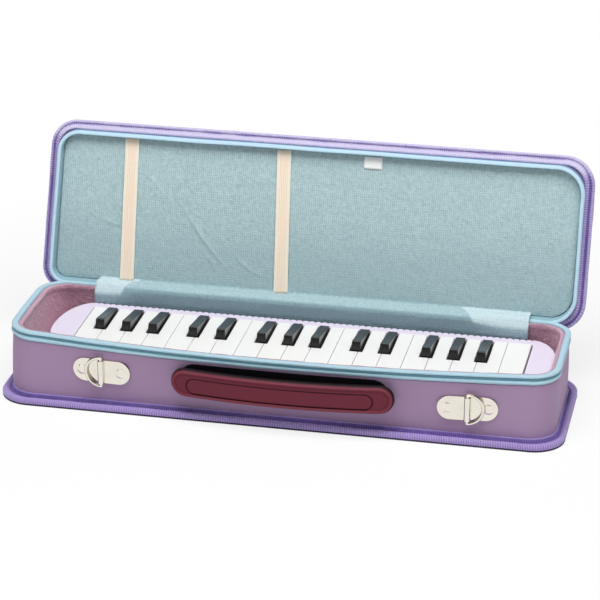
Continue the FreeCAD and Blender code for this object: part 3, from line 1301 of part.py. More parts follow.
def make_black_key(index):
    """Solid key: sides and front lean in, and the top slopes down to the rear."""
    note, octave = WHITE_NOTES[index]
    name = f"black_key_{note}{octave}_sharp"
    middle = sharp_middle(index)
    floor = "Dim.key_top - Dim.key_height"
    crest = "Dim.key_height + Dim.sharp_rise"
    half = "Dim.sharp_width / 2"
    crown = "Dim.sharp_crown / 2"
    sides = wedge(f"{name}_sides", {
        "Xmin": f"-{half}", "Xmax": half, "Ymin": "0", "Ymax": crest,
        "Zmin": "-Dim.sharp_length", "Zmax": "0",
        "X2min": f"-{crown}", "X2max": crown,
        "Z2min": "-Dim.sharp_length", "Z2max": "-Dim.sharp_slope"}, (V(1, 0, 0), 90))
    place(sides, middle, "Dim.sharp_front", floor)
    slope = extruded_polygon(f"{name}_slope", "YZ_Plane", [
        ("Dim.sharp_front - Dim.sharp_slope", floor),
        ("Dim.sharp_front + Dim.sharp_length + Dim.sharp_slope", floor),
        ("Dim.sharp_front + Dim.sharp_length + Dim.sharp_slope",
         "Dim.key_top + Dim.sharp_tail_rise"),
        ("Dim.sharp_front + Dim.sharp_knee", "Dim.key_top + Dim.sharp_knee_rise"),
        ("Dim.sharp_front + Dim.sharp_slope * 2", "Dim.key_top + Dim.sharp_rise"),
        ("Dim.sharp_front - Dim.sharp_slope", "Dim.key_top + Dim.sharp_rise")],
        "2 * Dim.sharp_width")
    place(slope, x=f"{middle} - Dim.sharp_width")
    key = doc.addObject("Part::Common", f"{name}_outer")
    key.Base = sides
    key.Tool = slope
    key.recompute(True)
    cap = doc.addObject("Part::Fillet", f"{name}_round")
    cap.Base = key
    radius = size("key_round")
    tail = size("sharp_front") + size("sharp_length")
    top = size("key_top")
    cap.Edges = [(number, radius, radius) for number, edge in enumerate(key.Shape.Edges, start=1)
                 if min(vertex.Z for vertex in edge.Vertexes) > top
                 and edge.CenterOfMass.y < tail - 0.1]
    finish_key(name, cap, middle, f"({floor})")


def make_pivot_rod():
    """Steel rod that every key turns on."""
    pin = rod("pivot_rod", ("-Dim.board_length / 2", "Dim.pivot_y", "Dim.pivot_z"),
              "Dim.rod_radius", "Dim.board_length", ALONG_X)
    keep(in_melodica(group("key_pivot_rod_set", [pin])), "key_pivot_rod")


def make_return_springs():
    """Comb of leaf fingers under the keys, and the coil behind the drain button."""
    board = size("board_under") + size("board_thickness") + size("parting_gap") / 2
    gauge = size("spring_sheet")
    foot = size("spring_foot")
    bend = size("spring_bend")
    tip = size("spring_tip")
    width = size("spring_width")
    reach = keys_reach()
    top = size("key_top") - size("key_height") - size("spring_gap")
    section = [(foot, board), (bend, board), (tip, top - gauge), (tip, top),
               (bend, board + gauge), (foot, board + gauge)]
    rail = Part.makeBox(2 * reach, (bend - foot) / 2, gauge, V(-reach, foot, board))
    fingers = []
    for x in key_middles():
        points = [V(x - width / 2, y, z) for y, z in section]
        face = Part.Face(Part.makePolygon(points + points[:1]))
        fingers.append(face.extrude(V(width, 0, 0)))
    comb = rail.fuse(fingers)
    start = size("chamber_length") / 2 + size("coil_gap")
    end = size("body_length") / 2 - size("button_cap") - size("coil_gap")
    radius = size("coil_radius")
    path = Part.makeHelix((end - start) / size("coil_turns"), end - start, radius)
    wire = Part.Wire(Part.Circle(V(radius, 0, 0), V(0, 1, 0), size("coil_wire")).toShape())
    coil = Part.Wire(path).makePipeShell([wire], True, True)
    coil.Placement = FreeCAD.Placement(V(start, 0, size("socket_z")), FreeCAD.Rotation(*ALONG_X))
    keep(in_melodica(solid("return_springs", Part.makeCompound([comb, coil]))), "return_springs")


# ---------------------------------------------------------------- build

def check(item):
    """Stop on a sub-part that is missing, broken or invalid."""
    if item.Shape.isNull() or not item.Shape.isValid():
        raise RuntimeError(f"{item.Label}: the shape is null or not valid")
    if not item.Shape.Solids:
        raise RuntimeError(f"{item.Label}: there is no solid in it")


def build():
    """Make every sub-part, check the document, and write one file for each."""
    make_tray()
    make_tray_binding()
    make_lid()
    make_elastic_bands()
    make_hinge_fabric()
    make_handle()
    make_handle_studs()
    make_anchors()
    make_d_rings()
    make_zip_slider()
    make_bottom_cover()
    make_top_cover()
    make_cover_screws()
    make_wind_chamber()
    make_valve_board()
    make_reed_plate()
    make_mouthpiece_socket()
    make_drain_button()
    make_pivot_rod()
    make_return_springs()
    for index in range(len(WHITE_NOTES)):
        make_white_key(index)
        if has_sharp(index):
            make_black_key(index)
    doc.recompute()
    broken = [item.Name for item in doc.Objects
              if "Invalid" in item.State or "Error" in item.State]
    if broken:
        raise RuntimeError(f"these objects failed: {broken}")
    os.makedirs("parts", exist_ok=True)
    for item in nodes:
        check(item)
        item.Shape.exportStep(f"parts/{item.Label}.step")
    print(f"{len(nodes)} sub-parts, {sum(len(item.Shape.Solids) for item in nodes)} solids")


build()
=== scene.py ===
# %% [markdown]
# # A melodica in its open carry case
# The object is a small wind instrument with piano keys.  It lies in a soft zipped case whose
# lid stands open.  The hard parts (covers, keys, metal fittings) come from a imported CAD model
# and keep their shape, so they only need finishes.  The soft parts (covering, fleece, binding,
# zips, bands, hinge cloth) are plain solids in CAD, so this lesson builds them.

# %% Load the frame
import json
import math

import bmesh
import bpy
from mathutils import Matrix, Vector, noise


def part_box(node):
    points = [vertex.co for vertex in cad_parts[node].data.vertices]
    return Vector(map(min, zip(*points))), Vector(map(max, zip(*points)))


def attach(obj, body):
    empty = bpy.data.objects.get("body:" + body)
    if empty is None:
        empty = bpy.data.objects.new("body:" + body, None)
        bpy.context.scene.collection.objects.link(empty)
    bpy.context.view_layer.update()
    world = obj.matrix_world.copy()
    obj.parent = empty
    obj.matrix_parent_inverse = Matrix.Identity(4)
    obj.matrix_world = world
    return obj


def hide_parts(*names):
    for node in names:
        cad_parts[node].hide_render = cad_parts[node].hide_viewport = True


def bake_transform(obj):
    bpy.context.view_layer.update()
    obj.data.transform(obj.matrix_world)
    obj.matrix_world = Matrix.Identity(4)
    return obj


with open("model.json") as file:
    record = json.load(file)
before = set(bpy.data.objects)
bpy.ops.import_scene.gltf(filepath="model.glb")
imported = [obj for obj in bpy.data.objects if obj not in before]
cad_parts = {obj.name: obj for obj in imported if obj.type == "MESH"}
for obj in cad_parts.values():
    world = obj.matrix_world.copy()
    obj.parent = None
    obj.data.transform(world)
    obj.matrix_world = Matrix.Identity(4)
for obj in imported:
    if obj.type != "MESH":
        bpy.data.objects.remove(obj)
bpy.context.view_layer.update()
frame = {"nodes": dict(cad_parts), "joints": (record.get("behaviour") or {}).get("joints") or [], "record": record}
MM = 0.001

# %% [markdown]
# ## The camera
# The camera comes first, because every choice of shape and finish is judged through it.  It
# looks from a little to the right and above.  Its long lens leaves hardly any perspective.

# %% Place the camera
scene = bpy.context.scene
scene.view_settings.view_transform = "Standard"
CAMERA_TURN = math.radians(11.48)
CAMERA_RISE = math.radians(22.64)
CAMERA_ROLL = math.radians(0.38)
CAMERA_DISTANCE = 2212.5 * MM
CAMERA_TARGET = Vector((7.51, 0, 83.15)) * MM
camera = bpy.data.objects.new("camera", bpy.data.cameras.new("camera"))
camera.data.lens = 165.0
scene.collection.objects.link(camera)
scene.camera = camera
back = Vector((math.sin(CAMERA_TURN) * math.cos(CAMERA_RISE),
               -math.cos(CAMERA_TURN) * math.cos(CAMERA_RISE), math.sin(CAMERA_RISE)))
facing = (-back).to_track_quat("-Z", "Y").to_matrix().to_4x4()
camera.matrix_world = (Matrix.Translation(CAMERA_TARGET + back * CAMERA_DISTANCE) @ facing
                       @ Matrix.Rotation(CAMERA_ROLL, 4, "Z"))
print("camera stands at", [round(x, 3) for x in camera.matrix_world.translation])

# %% [markdown]
# ## Writing shaders as sums
# A finish is a graph of nodes, but a graph is tiresome to write.  `Value` wraps one socket, so
# that `0.5 + 0.5 * wave` adds the Math nodes by itself.  `Nodes` owns one tree, and its method
# `node` adds any kind of node: the settings come first, then the sockets.

# %% Sockets that can be added and multiplied
class Value:
    """A shader socket that can stand in a sum."""

    def __init__(self, nodes, socket):
        self.nodes = nodes
        self.socket = socket

    def __add__(self, other):
        return self.nodes.maths("ADD", self, other)

    def __sub__(self, other):
        return self.nodes.maths("SUBTRACT", self, other)

    def __rsub__(self, other):
        return self.nodes.maths("SUBTRACT", other, self)

    def __mul__(self, other):
        return self.nodes.maths("MULTIPLY", self, other)

    __radd__, __rmul__ = __add__, __mul__


class Nodes:
    """A node tree and the few ways in which this file adds to it."""

    def __init__(self, owner):
        owner.use_nodes = True
        self.owner = owner
        self.tree = owner.node_tree
        self.tree.nodes.clear()

    def node(self, kind, settings, inputs, output=0):
        made = self.tree.nodes.new("ShaderNode" + kind)
        for name, setting in settings.items():
            setattr(made, name, setting)
        for key, value in inputs.items():
            if isinstance(value, Value):
                self.tree.links.new(value.socket, made.inputs[key])
            else:
                made.inputs[key].default_value = value
        return Value(self, made.outputs[output]) if made.outputs else made

    def maths(self, operation, first, second=0):
        return self.node("Math", {"operation": operation}, {0: first, 1: second})


# %% Finishes and colours
finishes = {}


def new_finish(name):
    """The empty node tree of a new finish, which is kept under its name."""
    finishes[name] = bpy.data.materials.new(name)
    return Nodes(finishes[name])


def own_place(nodes):
    """A point's place in the object's own coordinates."""
    return nodes.node("TexCoord", {}, {}, "Object")


def smoothstep(nodes, value, start, end):
    """0 up to start, 1 from end on, and a smooth rise between."""
    return nodes.node("MapRange", {"interpolation_type": "SMOOTHSTEP"},
                      {"Value": value, "From Min": start, "From Max": end})


def paint(red, green, blue):
    """A colour as on a paint card, 0 to 255, turned into a shader's linear numbers."""
    card = [level / 255 for level in (red, green, blue)]
    linear = [x / 12.92 if x < 0.04045 else ((x + 0.055) / 1.055) ** 2.4 for x in card]
    return (*linear, 1)


print("middle grey is", [round(x, 3) for x in paint(188, 188, 188)[:3]])

# %% [markdown]
# ## Floor and light
# Soft cloth needs soft light, but it also needs a direction, or its folds and ribs vanish.
# A broad lamp hangs above and a little in front, so upper faces are bright and upright ones
# are half as bright.  A weak white surround fills the shadows.  The floor is white card, part
# of it drawn by its own white, so it stays pale and still carries the object's shadow; far
# from the object it is drawn by that white alone.  Polished metal needs something dark to
# mirror, which three black cards give.  An image of a studio could light it all, but lamps and
# cards are easier to steer one by one.

# %% Surround and lamps
SURROUND = 0.3
LAMPS = {"overhead": {"watts": 24, "size": (1.6, 0.9), "place": (0.1, -0.4, 1.5)},
         "fill": {"watts": 1, "size": (1, 0.8), "place": (-0.9, -1.5, 0.9)}}
LAMP_TARGET = Vector((0, 0, 0.05))


def seen_directly(nodes):
    """1 for rays that look at or mirror a surface, 0 for rays that light the object."""
    looks, mirrors, passes = (nodes.node("LightPath", {}, {}, f"Is {kind} Ray")
                              for kind in ("Camera", "Glossy", "Transmission"))
    return nodes.maths("MAXIMUM", looks, nodes.maths("MAXIMUM", mirrors, passes))


scene.world = bpy.data.worlds.new("studio")
nodes = Nodes(scene.world)
level = SURROUND + (1 - SURROUND) * seen_directly(nodes)
light = nodes.node("Background", {}, {"Color": (1, 1, 1, 1), "Strength": level})
nodes.node("OutputWorld", {}, {"Surface": light})
for name, row in LAMPS.items():
    lamp = bpy.data.objects.new(name, bpy.data.lights.new(name, "AREA"))
    lamp.data.shape = "RECTANGLE"
    lamp.data.energy = row["watts"]
    lamp.data.size, lamp.data.size_y = row["size"]
    lamp.location = row["place"]
    lamp.rotation_euler = (LAMP_TARGET - lamp.location).to_track_quat("-Z", "Y").to_euler()
    scene.collection.objects.link(lamp)
print("surround", SURROUND, "and lamps", *LAMPS)

# %% Floor
FLOOR_GLOW = 0.78
FAR_FLOOR = (0.31, 0.55)
FLOOR_REACH = 6.0
FLOOR_LEVEL = -0.1 * MM
FLOOR_GREY = (0.94, 0.94, 0.94, 1)


def studio_card(name, corner, side, rise):
    """A flat card from one corner and two sides, which isn't part of the object."""
    corner, side, rise = Vector(corner), Vector(side), Vector(rise)
    corners = [corner, corner + side, corner + side + rise, corner + rise]
    mesh = bpy.data.meshes.new(name)
    mesh.from_pydata(corners, [], [(0, 1, 2, 3)])
    card = bpy.data.objects.new(name, mesh)
    scene.collection.objects.link(card)
    nodes = Nodes(bpy.data.materials.new(name))
    mesh.materials.append(nodes.owner)
    return nodes


nodes = studio_card("floor", (-FLOOR_REACH, -FLOOR_REACH, FLOOR_LEVEL), (2 * FLOOR_REACH, 0, 0),
                    (0, 2 * FLOOR_REACH, 0))
card = nodes.node("BsdfDiffuse", {}, {"Color": FLOOR_GREY})
white = nodes.node("Emission", {}, {"Color": (1, 1, 1, 1), "Strength": 1.0})
away = nodes.node("VectorMath", {"operation": "LENGTH"}, {0: own_place(nodes)}, "Value")
glow = FLOOR_GLOW + (1 - FLOOR_GLOW) * smoothstep(nodes, away, *FAR_FLOOR)
mixed = nodes.node("MixShader", {}, {0: glow * seen_directly(nodes), 1: card, 2: white})
nodes.node("OutputMaterial", {}, {"Surface": mixed})
print("floor reaches", FLOOR_REACH, "m each way")

# %% Dark cards: in front, high up behind and at one side
CARD_BLACK = (0.01, 0.01, 0.01, 1)
DARK_CARDS = {"front_card": ((-1.6, -1.5, 1.2), (3.2, 0, 0), (0, 0.4, 0.7)),
              "rear_card": ((-1.2, 0.25, 1.5), (2.4, 0, 0), (0, 1.05, -0.5)),
              "side_card": ((-1.5, -1.3, 0), (0, 0, 0.9), (0, 0.3, 0))}
for name, shape in DARK_CARDS.items():
    nodes = studio_card(name, *shape)
    black = nodes.node("BsdfDiffuse", {}, {"Color": CARD_BLACK})
    nodes.node("OutputMaterial", {}, {"Surface": black})
    bpy.data.objects[name].visible_camera = False  # so a card never hides the object
print("cards:", *DARK_CARDS)

# %% [markdown]
# ## Words for textures
# Cloth patterns follow the cloth, not the room.  Each soft piece carries a map called `cloth`
# that gives, in metres, the way along the piece and the way across it.  Hard pieces have no
# such map, so their grain follows the object's own coordinates.

# %% Texture helpers
def grain(nodes, size, detail=2):
    """Soft random blotches about that many millimetres across, 0 to 1."""
    return nodes.node("TexNoise", {}, {"Vector": own_place(nodes), "Scale": 1 / (size * MM),
                                       "Detail": detail})


def pebbles(nodes, size):
    """Distance to the nearest of many random points: the bumps of leather."""
    return nodes.node("TexVoronoi", {}, {"Vector": own_place(nodes), "Scale": 1 / (size * MM)},
                      "Distance")


def part_of(nodes, axis, vector):
    """One of a vector's three numbers."""
    return nodes.node("SeparateXYZ", {}, {"Vector": vector}, axis)


def thread(nodes, axis):
    """Metres along ("X") or across ("Y") the cloth."""
    return part_of(nodes, axis, nodes.node("UVMap", {"uv_map": "cloth"}, {}))


def face_way(nodes, axis):
    """How squarely a face looks along an axis, -1 to 1."""
    return part_of(nodes, axis, nodes.node("NewGeometry", {}, {}, "Normal"))


def ribs(nodes, way, pitch):
    """A wave from 0 to 1 that repeats every pitch millimetres."""
    return 0.5 + 0.5 * nodes.maths("SINE", way * (2 * math.pi / (pitch * MM)))


def between(nodes, way, low, high, soft):
    """1 between two places, fading to 0 over a soft edge."""
    rise = smoothstep(nodes, way, low - soft, low + soft)
    return rise * (1 - smoothstep(nodes, way, high - soft, high + soft))


def mix(nodes, share, first, second):
    """One colour fading into another."""
    return nodes.node("Mix", {"data_type": "RGBA"}, {0: share, 6: first, 7: second}, 2)


def surface(nodes, colour, roughness, height, relief, fixed=None):
    """End a finish: a Principled shader whose surface rises by height times relief."""
    normal = nodes.node("Bump", {}, {"Height": height, "Distance": relief})
    inputs = {"Base Color": colour, "Roughness": roughness, "Normal": normal, **(fixed or {})}
    shader = nodes.node("BsdfPrincipled", {}, inputs)
    nodes.node("OutputMaterial", {}, {"Surface": shader})
    return nodes.owner


print("texture words are ready")

# %% [markdown]
# ## Cloth and leather finishes
# The case's board is covered with a thin grained sheet, which is a fine pebble with soft
# uneven patches.  Binding and zip tape are woven: fine ribs run across them.  Fleece and knit
# scatter light at their edges, which is what a shader's sheen is for.  Pictures of cloth could
# be laid on instead, but sums of waves and noise stay sharp from near and never repeat.

# %% Wall cover and woven tape
NOWHERE = (1, 2)  # from 1 m to 2 m, where no piece reaches


def woven(name, colour, dark, low, high, lit_heights=NOWHERE):
    """Ribbed tape with painted shade in its sewn groove from low to high; a painted highlight makes it paler
    between lit_heights.
    """
    nodes = new_finish(name)
    across = thread(nodes, "Y")
    rib = ribs(nodes, thread(nodes, "X"), 1.9)
    weft = ribs(nodes, across, 0.9)
    # the groove's darker colour is painted shade
    groove_shade = between(nodes, across, low, high, 0.5 * MM)
    patch = grain(nodes, 7, 3)
    shaded = mix(nodes, groove_shade + (1 - groove_shade) * (0.5 * rib + 0.3 * patch), colour, dark)
    height = part_of(nodes, "Z", own_place(nodes))
    # between lit_heights the tape is paled: a painted highlight along the lit top run
    lit_top_tone = mix(nodes, 0.6 * between(nodes, height, *lit_heights, 4 * MM), shaded, paint(238, 232, 255))
    worn = mix(nodes, 0.3 * weft * patch, lit_top_tone, paint(226, 218, 242))
    return surface(nodes, worn, 0.7, (1 - rib) * (0.6 + 0.4 * weft), 0.4 * MM,
                   {"Sheen Weight": 0.25})


nodes = new_finish("wall_cover")
patches = grain(nodes, 60, 3)
tone = mix(nodes, patches, paint(174, 144, 178), paint(160, 133, 167))
height = pebbles(nodes, 0.9) + 0.6 * grain(nodes, 0.5)
surface(nodes, tone, 0.62 + 0.12 * patches, height, 0.12 * MM)
print("wall cover made")

# %% Fleece
nodes = new_finish("fleece")
pile = grain(nodes, 1.3, 4)
tuft = grain(nodes, 3.4, 3)
rubbed = grain(nodes, 26, 3)
share = 0.75 * (pile + tuft) - 0.25
tone = mix(nodes, share, paint(140, 94, 117), paint(214, 172, 190))
worn = mix(nodes, 0.4 * rubbed, tone, paint(182, 140, 158))
# the end walls, which face along x, are painted lighter: painted light
sideways_light = nodes.maths("ABSOLUTE", face_way(nodes, "X"))
lit = mix(nodes, 0.75 * sideways_light, worn, paint(250, 202, 222))
surface(nodes, lit, 0.95, pile + tuft, 1.0 * MM, {"Sheen Weight": 0.4})
print("fleece made")

# %% Knit cloth
def knit(name, light, dark, pitch, dress):
    """Fine upright ribs with a scatter of lighter stitches; dress shades it further."""
    nodes = new_finish(name)
    rib = ribs(nodes, thread(nodes, "X"), pitch)
    loops = ribs(nodes, thread(nodes, "Y"), 1.2 * pitch)
    fuzz = grain(nodes, 1.3, 3)
    mottle = grain(nodes, 3.2, 4)
    share = 0.3 * rib + 0.9 * fuzz + 1.1 * mottle - 0.62
    tone = dress(nodes, mix(nodes, share, dark, light))
    height = 0.5 * rib + 0.2 * loops + 0.6 * fuzz + 1.6 * mottle
    return surface(nodes, tone, 0.92, height, 0.45 * MM, {"Sheen Weight": 0.3})


def lining_shade(nodes, tone):
    """The lining is painted a little darker and greyer towards the hinge: painted shade."""
    low = between(nodes, thread(nodes, "Y"), -52 * MM, 20 * MM, 30 * MM)
    return mix(nodes, 0.4 * low, tone, paint(140, 170, 178))


def flap_light_and_shade(nodes, tone):
    """The hanging part is painted darker as painted shade; near both ends the cloth is painted paler as painted
    light.
    """
    way, up = thread(nodes, "X"), thread(nodes, "Y")
    left = between(nodes, way - 0.6 * up, -1, FLAP_PALE[0], 1.5 * MM)
    right = between(nodes, way + 0.6 * up, FLAP_PALE[1], 1, 1.5 * MM)
    lit_ends = (left + right) * between(nodes, up, 17.5 * MM, 0.1, 1.5 * MM)
    hanging = between(nodes, up, -0.1, 21.5 * MM, 1.2 * MM) * (1 - lit_ends)
    share = hanging * (0.8 - 0.25 * (left + right))
    shaded = mix(nodes, share, tone, paint(134, 166, 176))
    return mix(nodes, 0.6 * lit_ends, shaded, paint(222, 242, 248))


FLAP_PALE = (-166 * MM, 152 * MM)
knit("lid_knit", paint(197, 218, 220), paint(144, 178, 184), 1.7, lining_shade)
knit("hinge_fabric", paint(190, 215, 221), paint(146, 180, 188), 1.5, flap_light_and_shade)
print("knit cloths made")

# %% Cream ribbed elastic with two paler selvedges and a warmer middle
BAND_HALF = 6.0 * MM
nodes = new_finish("elastic")
across = thread(nodes, "Y")
cords = ribs(nodes, across, 1.5)
cross = ribs(nodes, thread(nodes, "X"), 1)
middle = between(nodes, across, 0.3 * BAND_HALF, 1.7 * BAND_HALF, 1.2 * MM)
tone = mix(nodes, middle * (0.35 + 0.4 * cords), paint(254, 246, 230), paint(246, 218, 190))
surface(nodes, tone, 0.85, cords + 0.4 * cross, 0.2 * MM, {"Sheen Weight": 0.2})
print("soft finishes:", sorted(finishes))

# %% [markdown]
# ## Plastic, rubber and metal finishes
# Moulded plastic is smooth but never perfect: a very shallow swell breaks up its reflections,
# and its roughness wanders a little.  The nickel fittings are pressed sheet, so they get fine
# scratches, and the steel and brass inside are duller.

# %% Plastics
def moulded(name, colour, roughness, swell=0.02, fixed=None):
    """Smooth plastic or thread; its swell is in millimetres."""
    nodes = new_finish(name)
    handled = grain(nodes, 14, 3)
    fine = grain(nodes, 0.7)
    height = handled + 0.1 * fine
    return surface(nodes, colour, roughness + 0.08 * handled, height, swell * MM, fixed)


moulded("lavender", paint(236, 226, 244), 0.36, 0.01)
moulded("white_key", paint(248, 247, 245), 0.3, 0.004)
moulded("inner_plastic", paint(214, 212, 208), 0.5)
print("plain plastics made")

# %% Gloss black whose upper face is painted grey, a painted reflection of the ceiling blotched by smears
nodes = new_finish("black_key")
top = smoothstep(nodes, face_way(nodes, "Z"), 0.75, 0.97)
smear = grain(nodes, 6, 3)
# the grey of the upper face is a painted reflection; smear only varies it
tone = mix(nodes, top * (0.7 + 0.5 * smear), paint(9, 8, 10), paint(60, 63, 66))
surface(nodes, tone, 0.16 + 0.14 * smear, smear, 0.01 * MM, {"Specular IOR Level": 0.55})
print("black keys' finish made")

# %% Metals
def metal(name, colour, roughness, tarnish, dark_reflection=0):
    """Drawn metal; dark_reflection paints the slopes that face up or to the left dark: a painted reflection of
    dark surroundings.
    """
    nodes = new_finish(name)
    drawn = nodes.node("VectorMath", {"operation": "MULTIPLY"},
                       {0: own_place(nodes), 1: (0.12, 1, 1)})
    scratch = nodes.node("TexNoise", {}, {"Vector": drawn, "Scale": 2500, "Detail": 2.0})
    stain = grain(nodes, 9, 3)
    tone = mix(nodes, 0.5 * stain, colour, tarnish)
    dark_mirror_mask = (between(nodes, face_way(nodes, "Z"), 0.42, 0.93, 0.1)
            + between(nodes, face_way(nodes, "X"), -0.97, -0.72, 0.06))
    # worn here holds the painted dark reflection on those slopes
    worn = mix(nodes, dark_reflection * dark_mirror_mask, tone, paint(52, 46, 44))
    return surface(nodes, worn, roughness + 0.1 * stain, scratch, 0.002 * MM, {"Metallic": 1.0})


metal("nickel", paint(240, 235, 224), 0.12, paint(214, 206, 190), 0.85)
metal("brass", paint(214, 176, 96), 0.35, paint(170, 130, 60))
metal("steel", paint(190, 190, 194), 0.32, paint(140, 138, 136))
print("metals made")

# %% Maroon rubber, whose cloth map holds the distances to the rim and to the inner groove
nodes = new_finish("grip")
pebble = pebbles(nodes, 0.7)
rubbed = grain(nodes, 18, 3)
# groove_shade darkens the inner groove: painted shade
groove_shade = between(nodes, thread(nodes, "Y"), -0.45 * MM, 0.45 * MM, 0.3 * MM)
rim = 1 - between(nodes, thread(nodes, "X"), 0.9 * MM, 40 * MM, 0.6 * MM)
bead = between(nodes, thread(nodes, "X"), 1.7 * MM, 2.7 * MM, 0.5 * MM)
tone = mix(nodes, rubbed, paint(104, 36, 51), paint(112, 42, 58))
# bead_highlit paints a lighter line along the bead: a painted highlight
bead_highlit = mix(nodes, 0.5 * bead, tone, paint(146, 70, 86))
shaded = mix(nodes, 0.8 * groove_shade + rim, bead_highlit, paint(20, 6, 9))
surface(nodes, shaded, 0.46 + 0.14 * rubbed, pebble, 0.05 * MM, {"Specular IOR Level": 0.2})
print("hard finishes made; in all:", sorted(finishes))

# %% [markdown]
# ## Dressing the CAD parts
# The record says which material slot each CAD node takes its finish from.  A loop over that
# list dresses them all, which can't miss one as work by hand might.  The plain soft solids
# get replaced further on.

# %% Give each CAD node its finish
for part in frame["record"]["subparts"]:
    node = frame["nodes"][part["node"]]
    finish = finishes.get(part["material_slot"], finishes["fleece"])
    node.data.materials.clear()
    node.data.materials.append(finish)

# %% [markdown]
# ## Outlines and lofts
# Nearly everything on the case follows a rectangle with round corners.  `outline` walks round
# such a rectangle and always takes the same number of steps, so outlines of different sizes
# can be joined ring by ring into a solid.  That is a loft.  A bevelled curve could do much of
# this, but here every ring may have its own bow and lean, and sewn cloth never gives four equal
# corners, so each corner has a radius of its own.

# %% Outline
LONG_STEPS = 130
SHORT_STEPS = 30
CORNER_STEPS = 14


def outline(half_x, half_y, corners, bow=0, lean=0, middle=(0, 0)):
    """Points anticlockwise round a rectangle with four corner radii, from its front left.

    Its front bows out at mid-length and leans back at both ends."""
    fl, fr, br, bl = corners
    points = []
    for step in range(LONG_STEPS):
        share = 2 * step / LONG_STEPS - 1
        x = (fr - fl) / -2 + (half_x - (fl + fr) / 2) * share
        points.append((x, -half_y + lean - (bow + lean) * (1 - share ** 2)))
    turns = [(half_x - fr, fr + lean - half_y, fr, SHORT_STEPS),
             (half_x - br, half_y - br, br, LONG_STEPS),
             (bl - half_x, half_y - bl, bl, SHORT_STEPS), (fl - half_x, fl + lean - half_y, fl, 0)]
    arcs = []
    for quarter, (x, y, radius, _) in enumerate(turns):
        angles = [math.radians(90 * (quarter - 1 + step / CORNER_STEPS))
                  for step in range(CORNER_STEPS + 1)]
        arcs.append([(x + radius * math.cos(turn), y + radius * math.sin(turn))
                     for turn in angles])
    for arc, following, (_, _, _, steps) in zip(arcs, arcs[1:] + arcs[:1], turns):
        (x, y), (goal_x, goal_y) = arc[-1], following[0]
        points += arc[:-1]
        points += [(x + (goal_x - x) * step / steps, y + (goal_y - y) * step / steps)
                   for step in range(steps)]
    return [(x + middle[0], y + middle[1]) for x, y in points]


print("an outline has", len(outline(0.1, 0.1, [0.01] * 4)), "points")

# %% Grids of points
def new_mesh():
    """An empty mesh in the making, with the cloth map."""
    made = bmesh.new()
    made.loops.layers.uv.new("cloth")
    return made


def add_faces(made, spots, ways=None):
    """Join a grid of mesh points into faces; ways gives the cloth map, else x and y do."""
    cloth = made.loops.layers.uv["cloth"]
    for row in range(len(spots) - 1):
        for column in range(len(spots[0]) - 1):
            corners = [(row, column), (row, column + 1), (row + 1, column + 1), (row + 1, column)]
            face = made.faces.new([spots[a][b] for a, b in corners])
            for loop, (a, b) in zip(face.loops, corners):
                loop[cloth].uv = ways[a][b] if ways else loop.vert.co.xy


def add_points(made, rows):
    return [[made.verts.new(point) for point in row] for row in rows]


def grid(rows, ways=None):
    """A new mesh through a grid of points."""
    made = new_mesh()
    add_faces(made, add_points(made, rows), ways)
    return made


def evenly(start, end, steps):
    return [start + (end - start) * step / steps for step in range(steps + 1)]


def eased(steps):
    """From -1 to 1 in steps that get short at both ends."""
    return [math.sin(math.pi / 2 * way) for way in evenly(-1, 1, steps)]


def running_length(points):
    """How far along a line each of its points lies."""
    lengths = [0]
    for here, there in zip(points, points[1:]):
        lengths.append(lengths[-1] + math.dist(here, there))
    return lengths


print("grids can be joined and measured")

# %% Loft
def loft(rings, capped=False):
    """A mesh through rings of equal count, with its cloth map in metres.

    Without caps its last ring joins its first."""
    made = new_mesh()
    rows = add_points(made, rings)
    around = running_length(rings[0] + rings[0][:1])
    across = running_length([ring[0] for ring in rings + rings[:1]])
    ways = [[(u, v) for u in around] for v in across]
    shut = [row + row[:1] for row in (rows if capped else rows + rows[:1])]
    add_faces(made, shut, ways)
    if capped:
        made.faces.new(rows[0])
        made.faces.new(rows[-1])
    return made


def rings(ring, section):
    """One ring for each (out, height) pair of a section in millimetres."""
    return [ring(out * MM, height * MM) for out, height in section]


print("lofts are ready")

# %% From a mesh in the making to a piece
def piece(name, made, body, slot, stands_for=None, finish=None, sharp=35):
    """Turn a mesh in the making into an object that rides on a body.

    Its finish is the one named like its slot, unless another is given."""
    bmesh.ops.recalc_face_normals(made, faces=made.faces)
    for face in made.faces:
        face.smooth = True
    mesh = bpy.data.meshes.new(name)
    made.to_mesh(mesh)
    made.free()
    mesh.set_sharp_from_angle(angle=math.radians(sharp))
    mesh.materials.append(finish or finishes[slot])
    if body == "lid":  # the lid is modelled shut
        mesh.transform(LID)
    item = bpy.data.objects.new(name, mesh)
    scene.collection.objects.link(item)
    if body:
        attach(item, body)
    if stands_for:
        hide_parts(stands_for)
    print(f"{name}: {len(mesh.vertices)} points")
    return item


# %% [markdown]
# ## The tray
# The tray is a bent board wall on a board floor, covered outside with the grained sheet.  Its
# front bows forward more and more towards the rim, and its two ends lean back, as such soft
# walls do.  Its sizes are read back from the CAD parts, so the cloth fits the hard pieces.
# The cover is glued to the board, so a loft with a slight swell shows it better than a cloth
# simulation would, and it is the same on each run.

# %% Sizes of the tray
WALL_X, WALL_Y, WALL_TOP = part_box("tray_shell")[1]
BASE_X, BASE_Y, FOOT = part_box("tray_binding")[1]
rim_low, rim_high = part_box("tray_zip_tape")
RIM = rim_high.z
BOW = -rim_low.y - WALL_Y
LEAN = 6 * MM
WALL_CORNER = 23 * MM
BASE_CORNER = 26 * MM
BOARD = 3.5 * MM
LEAST_CORNER = 1.5 * MM
END_BULGE = 1.9 * MM


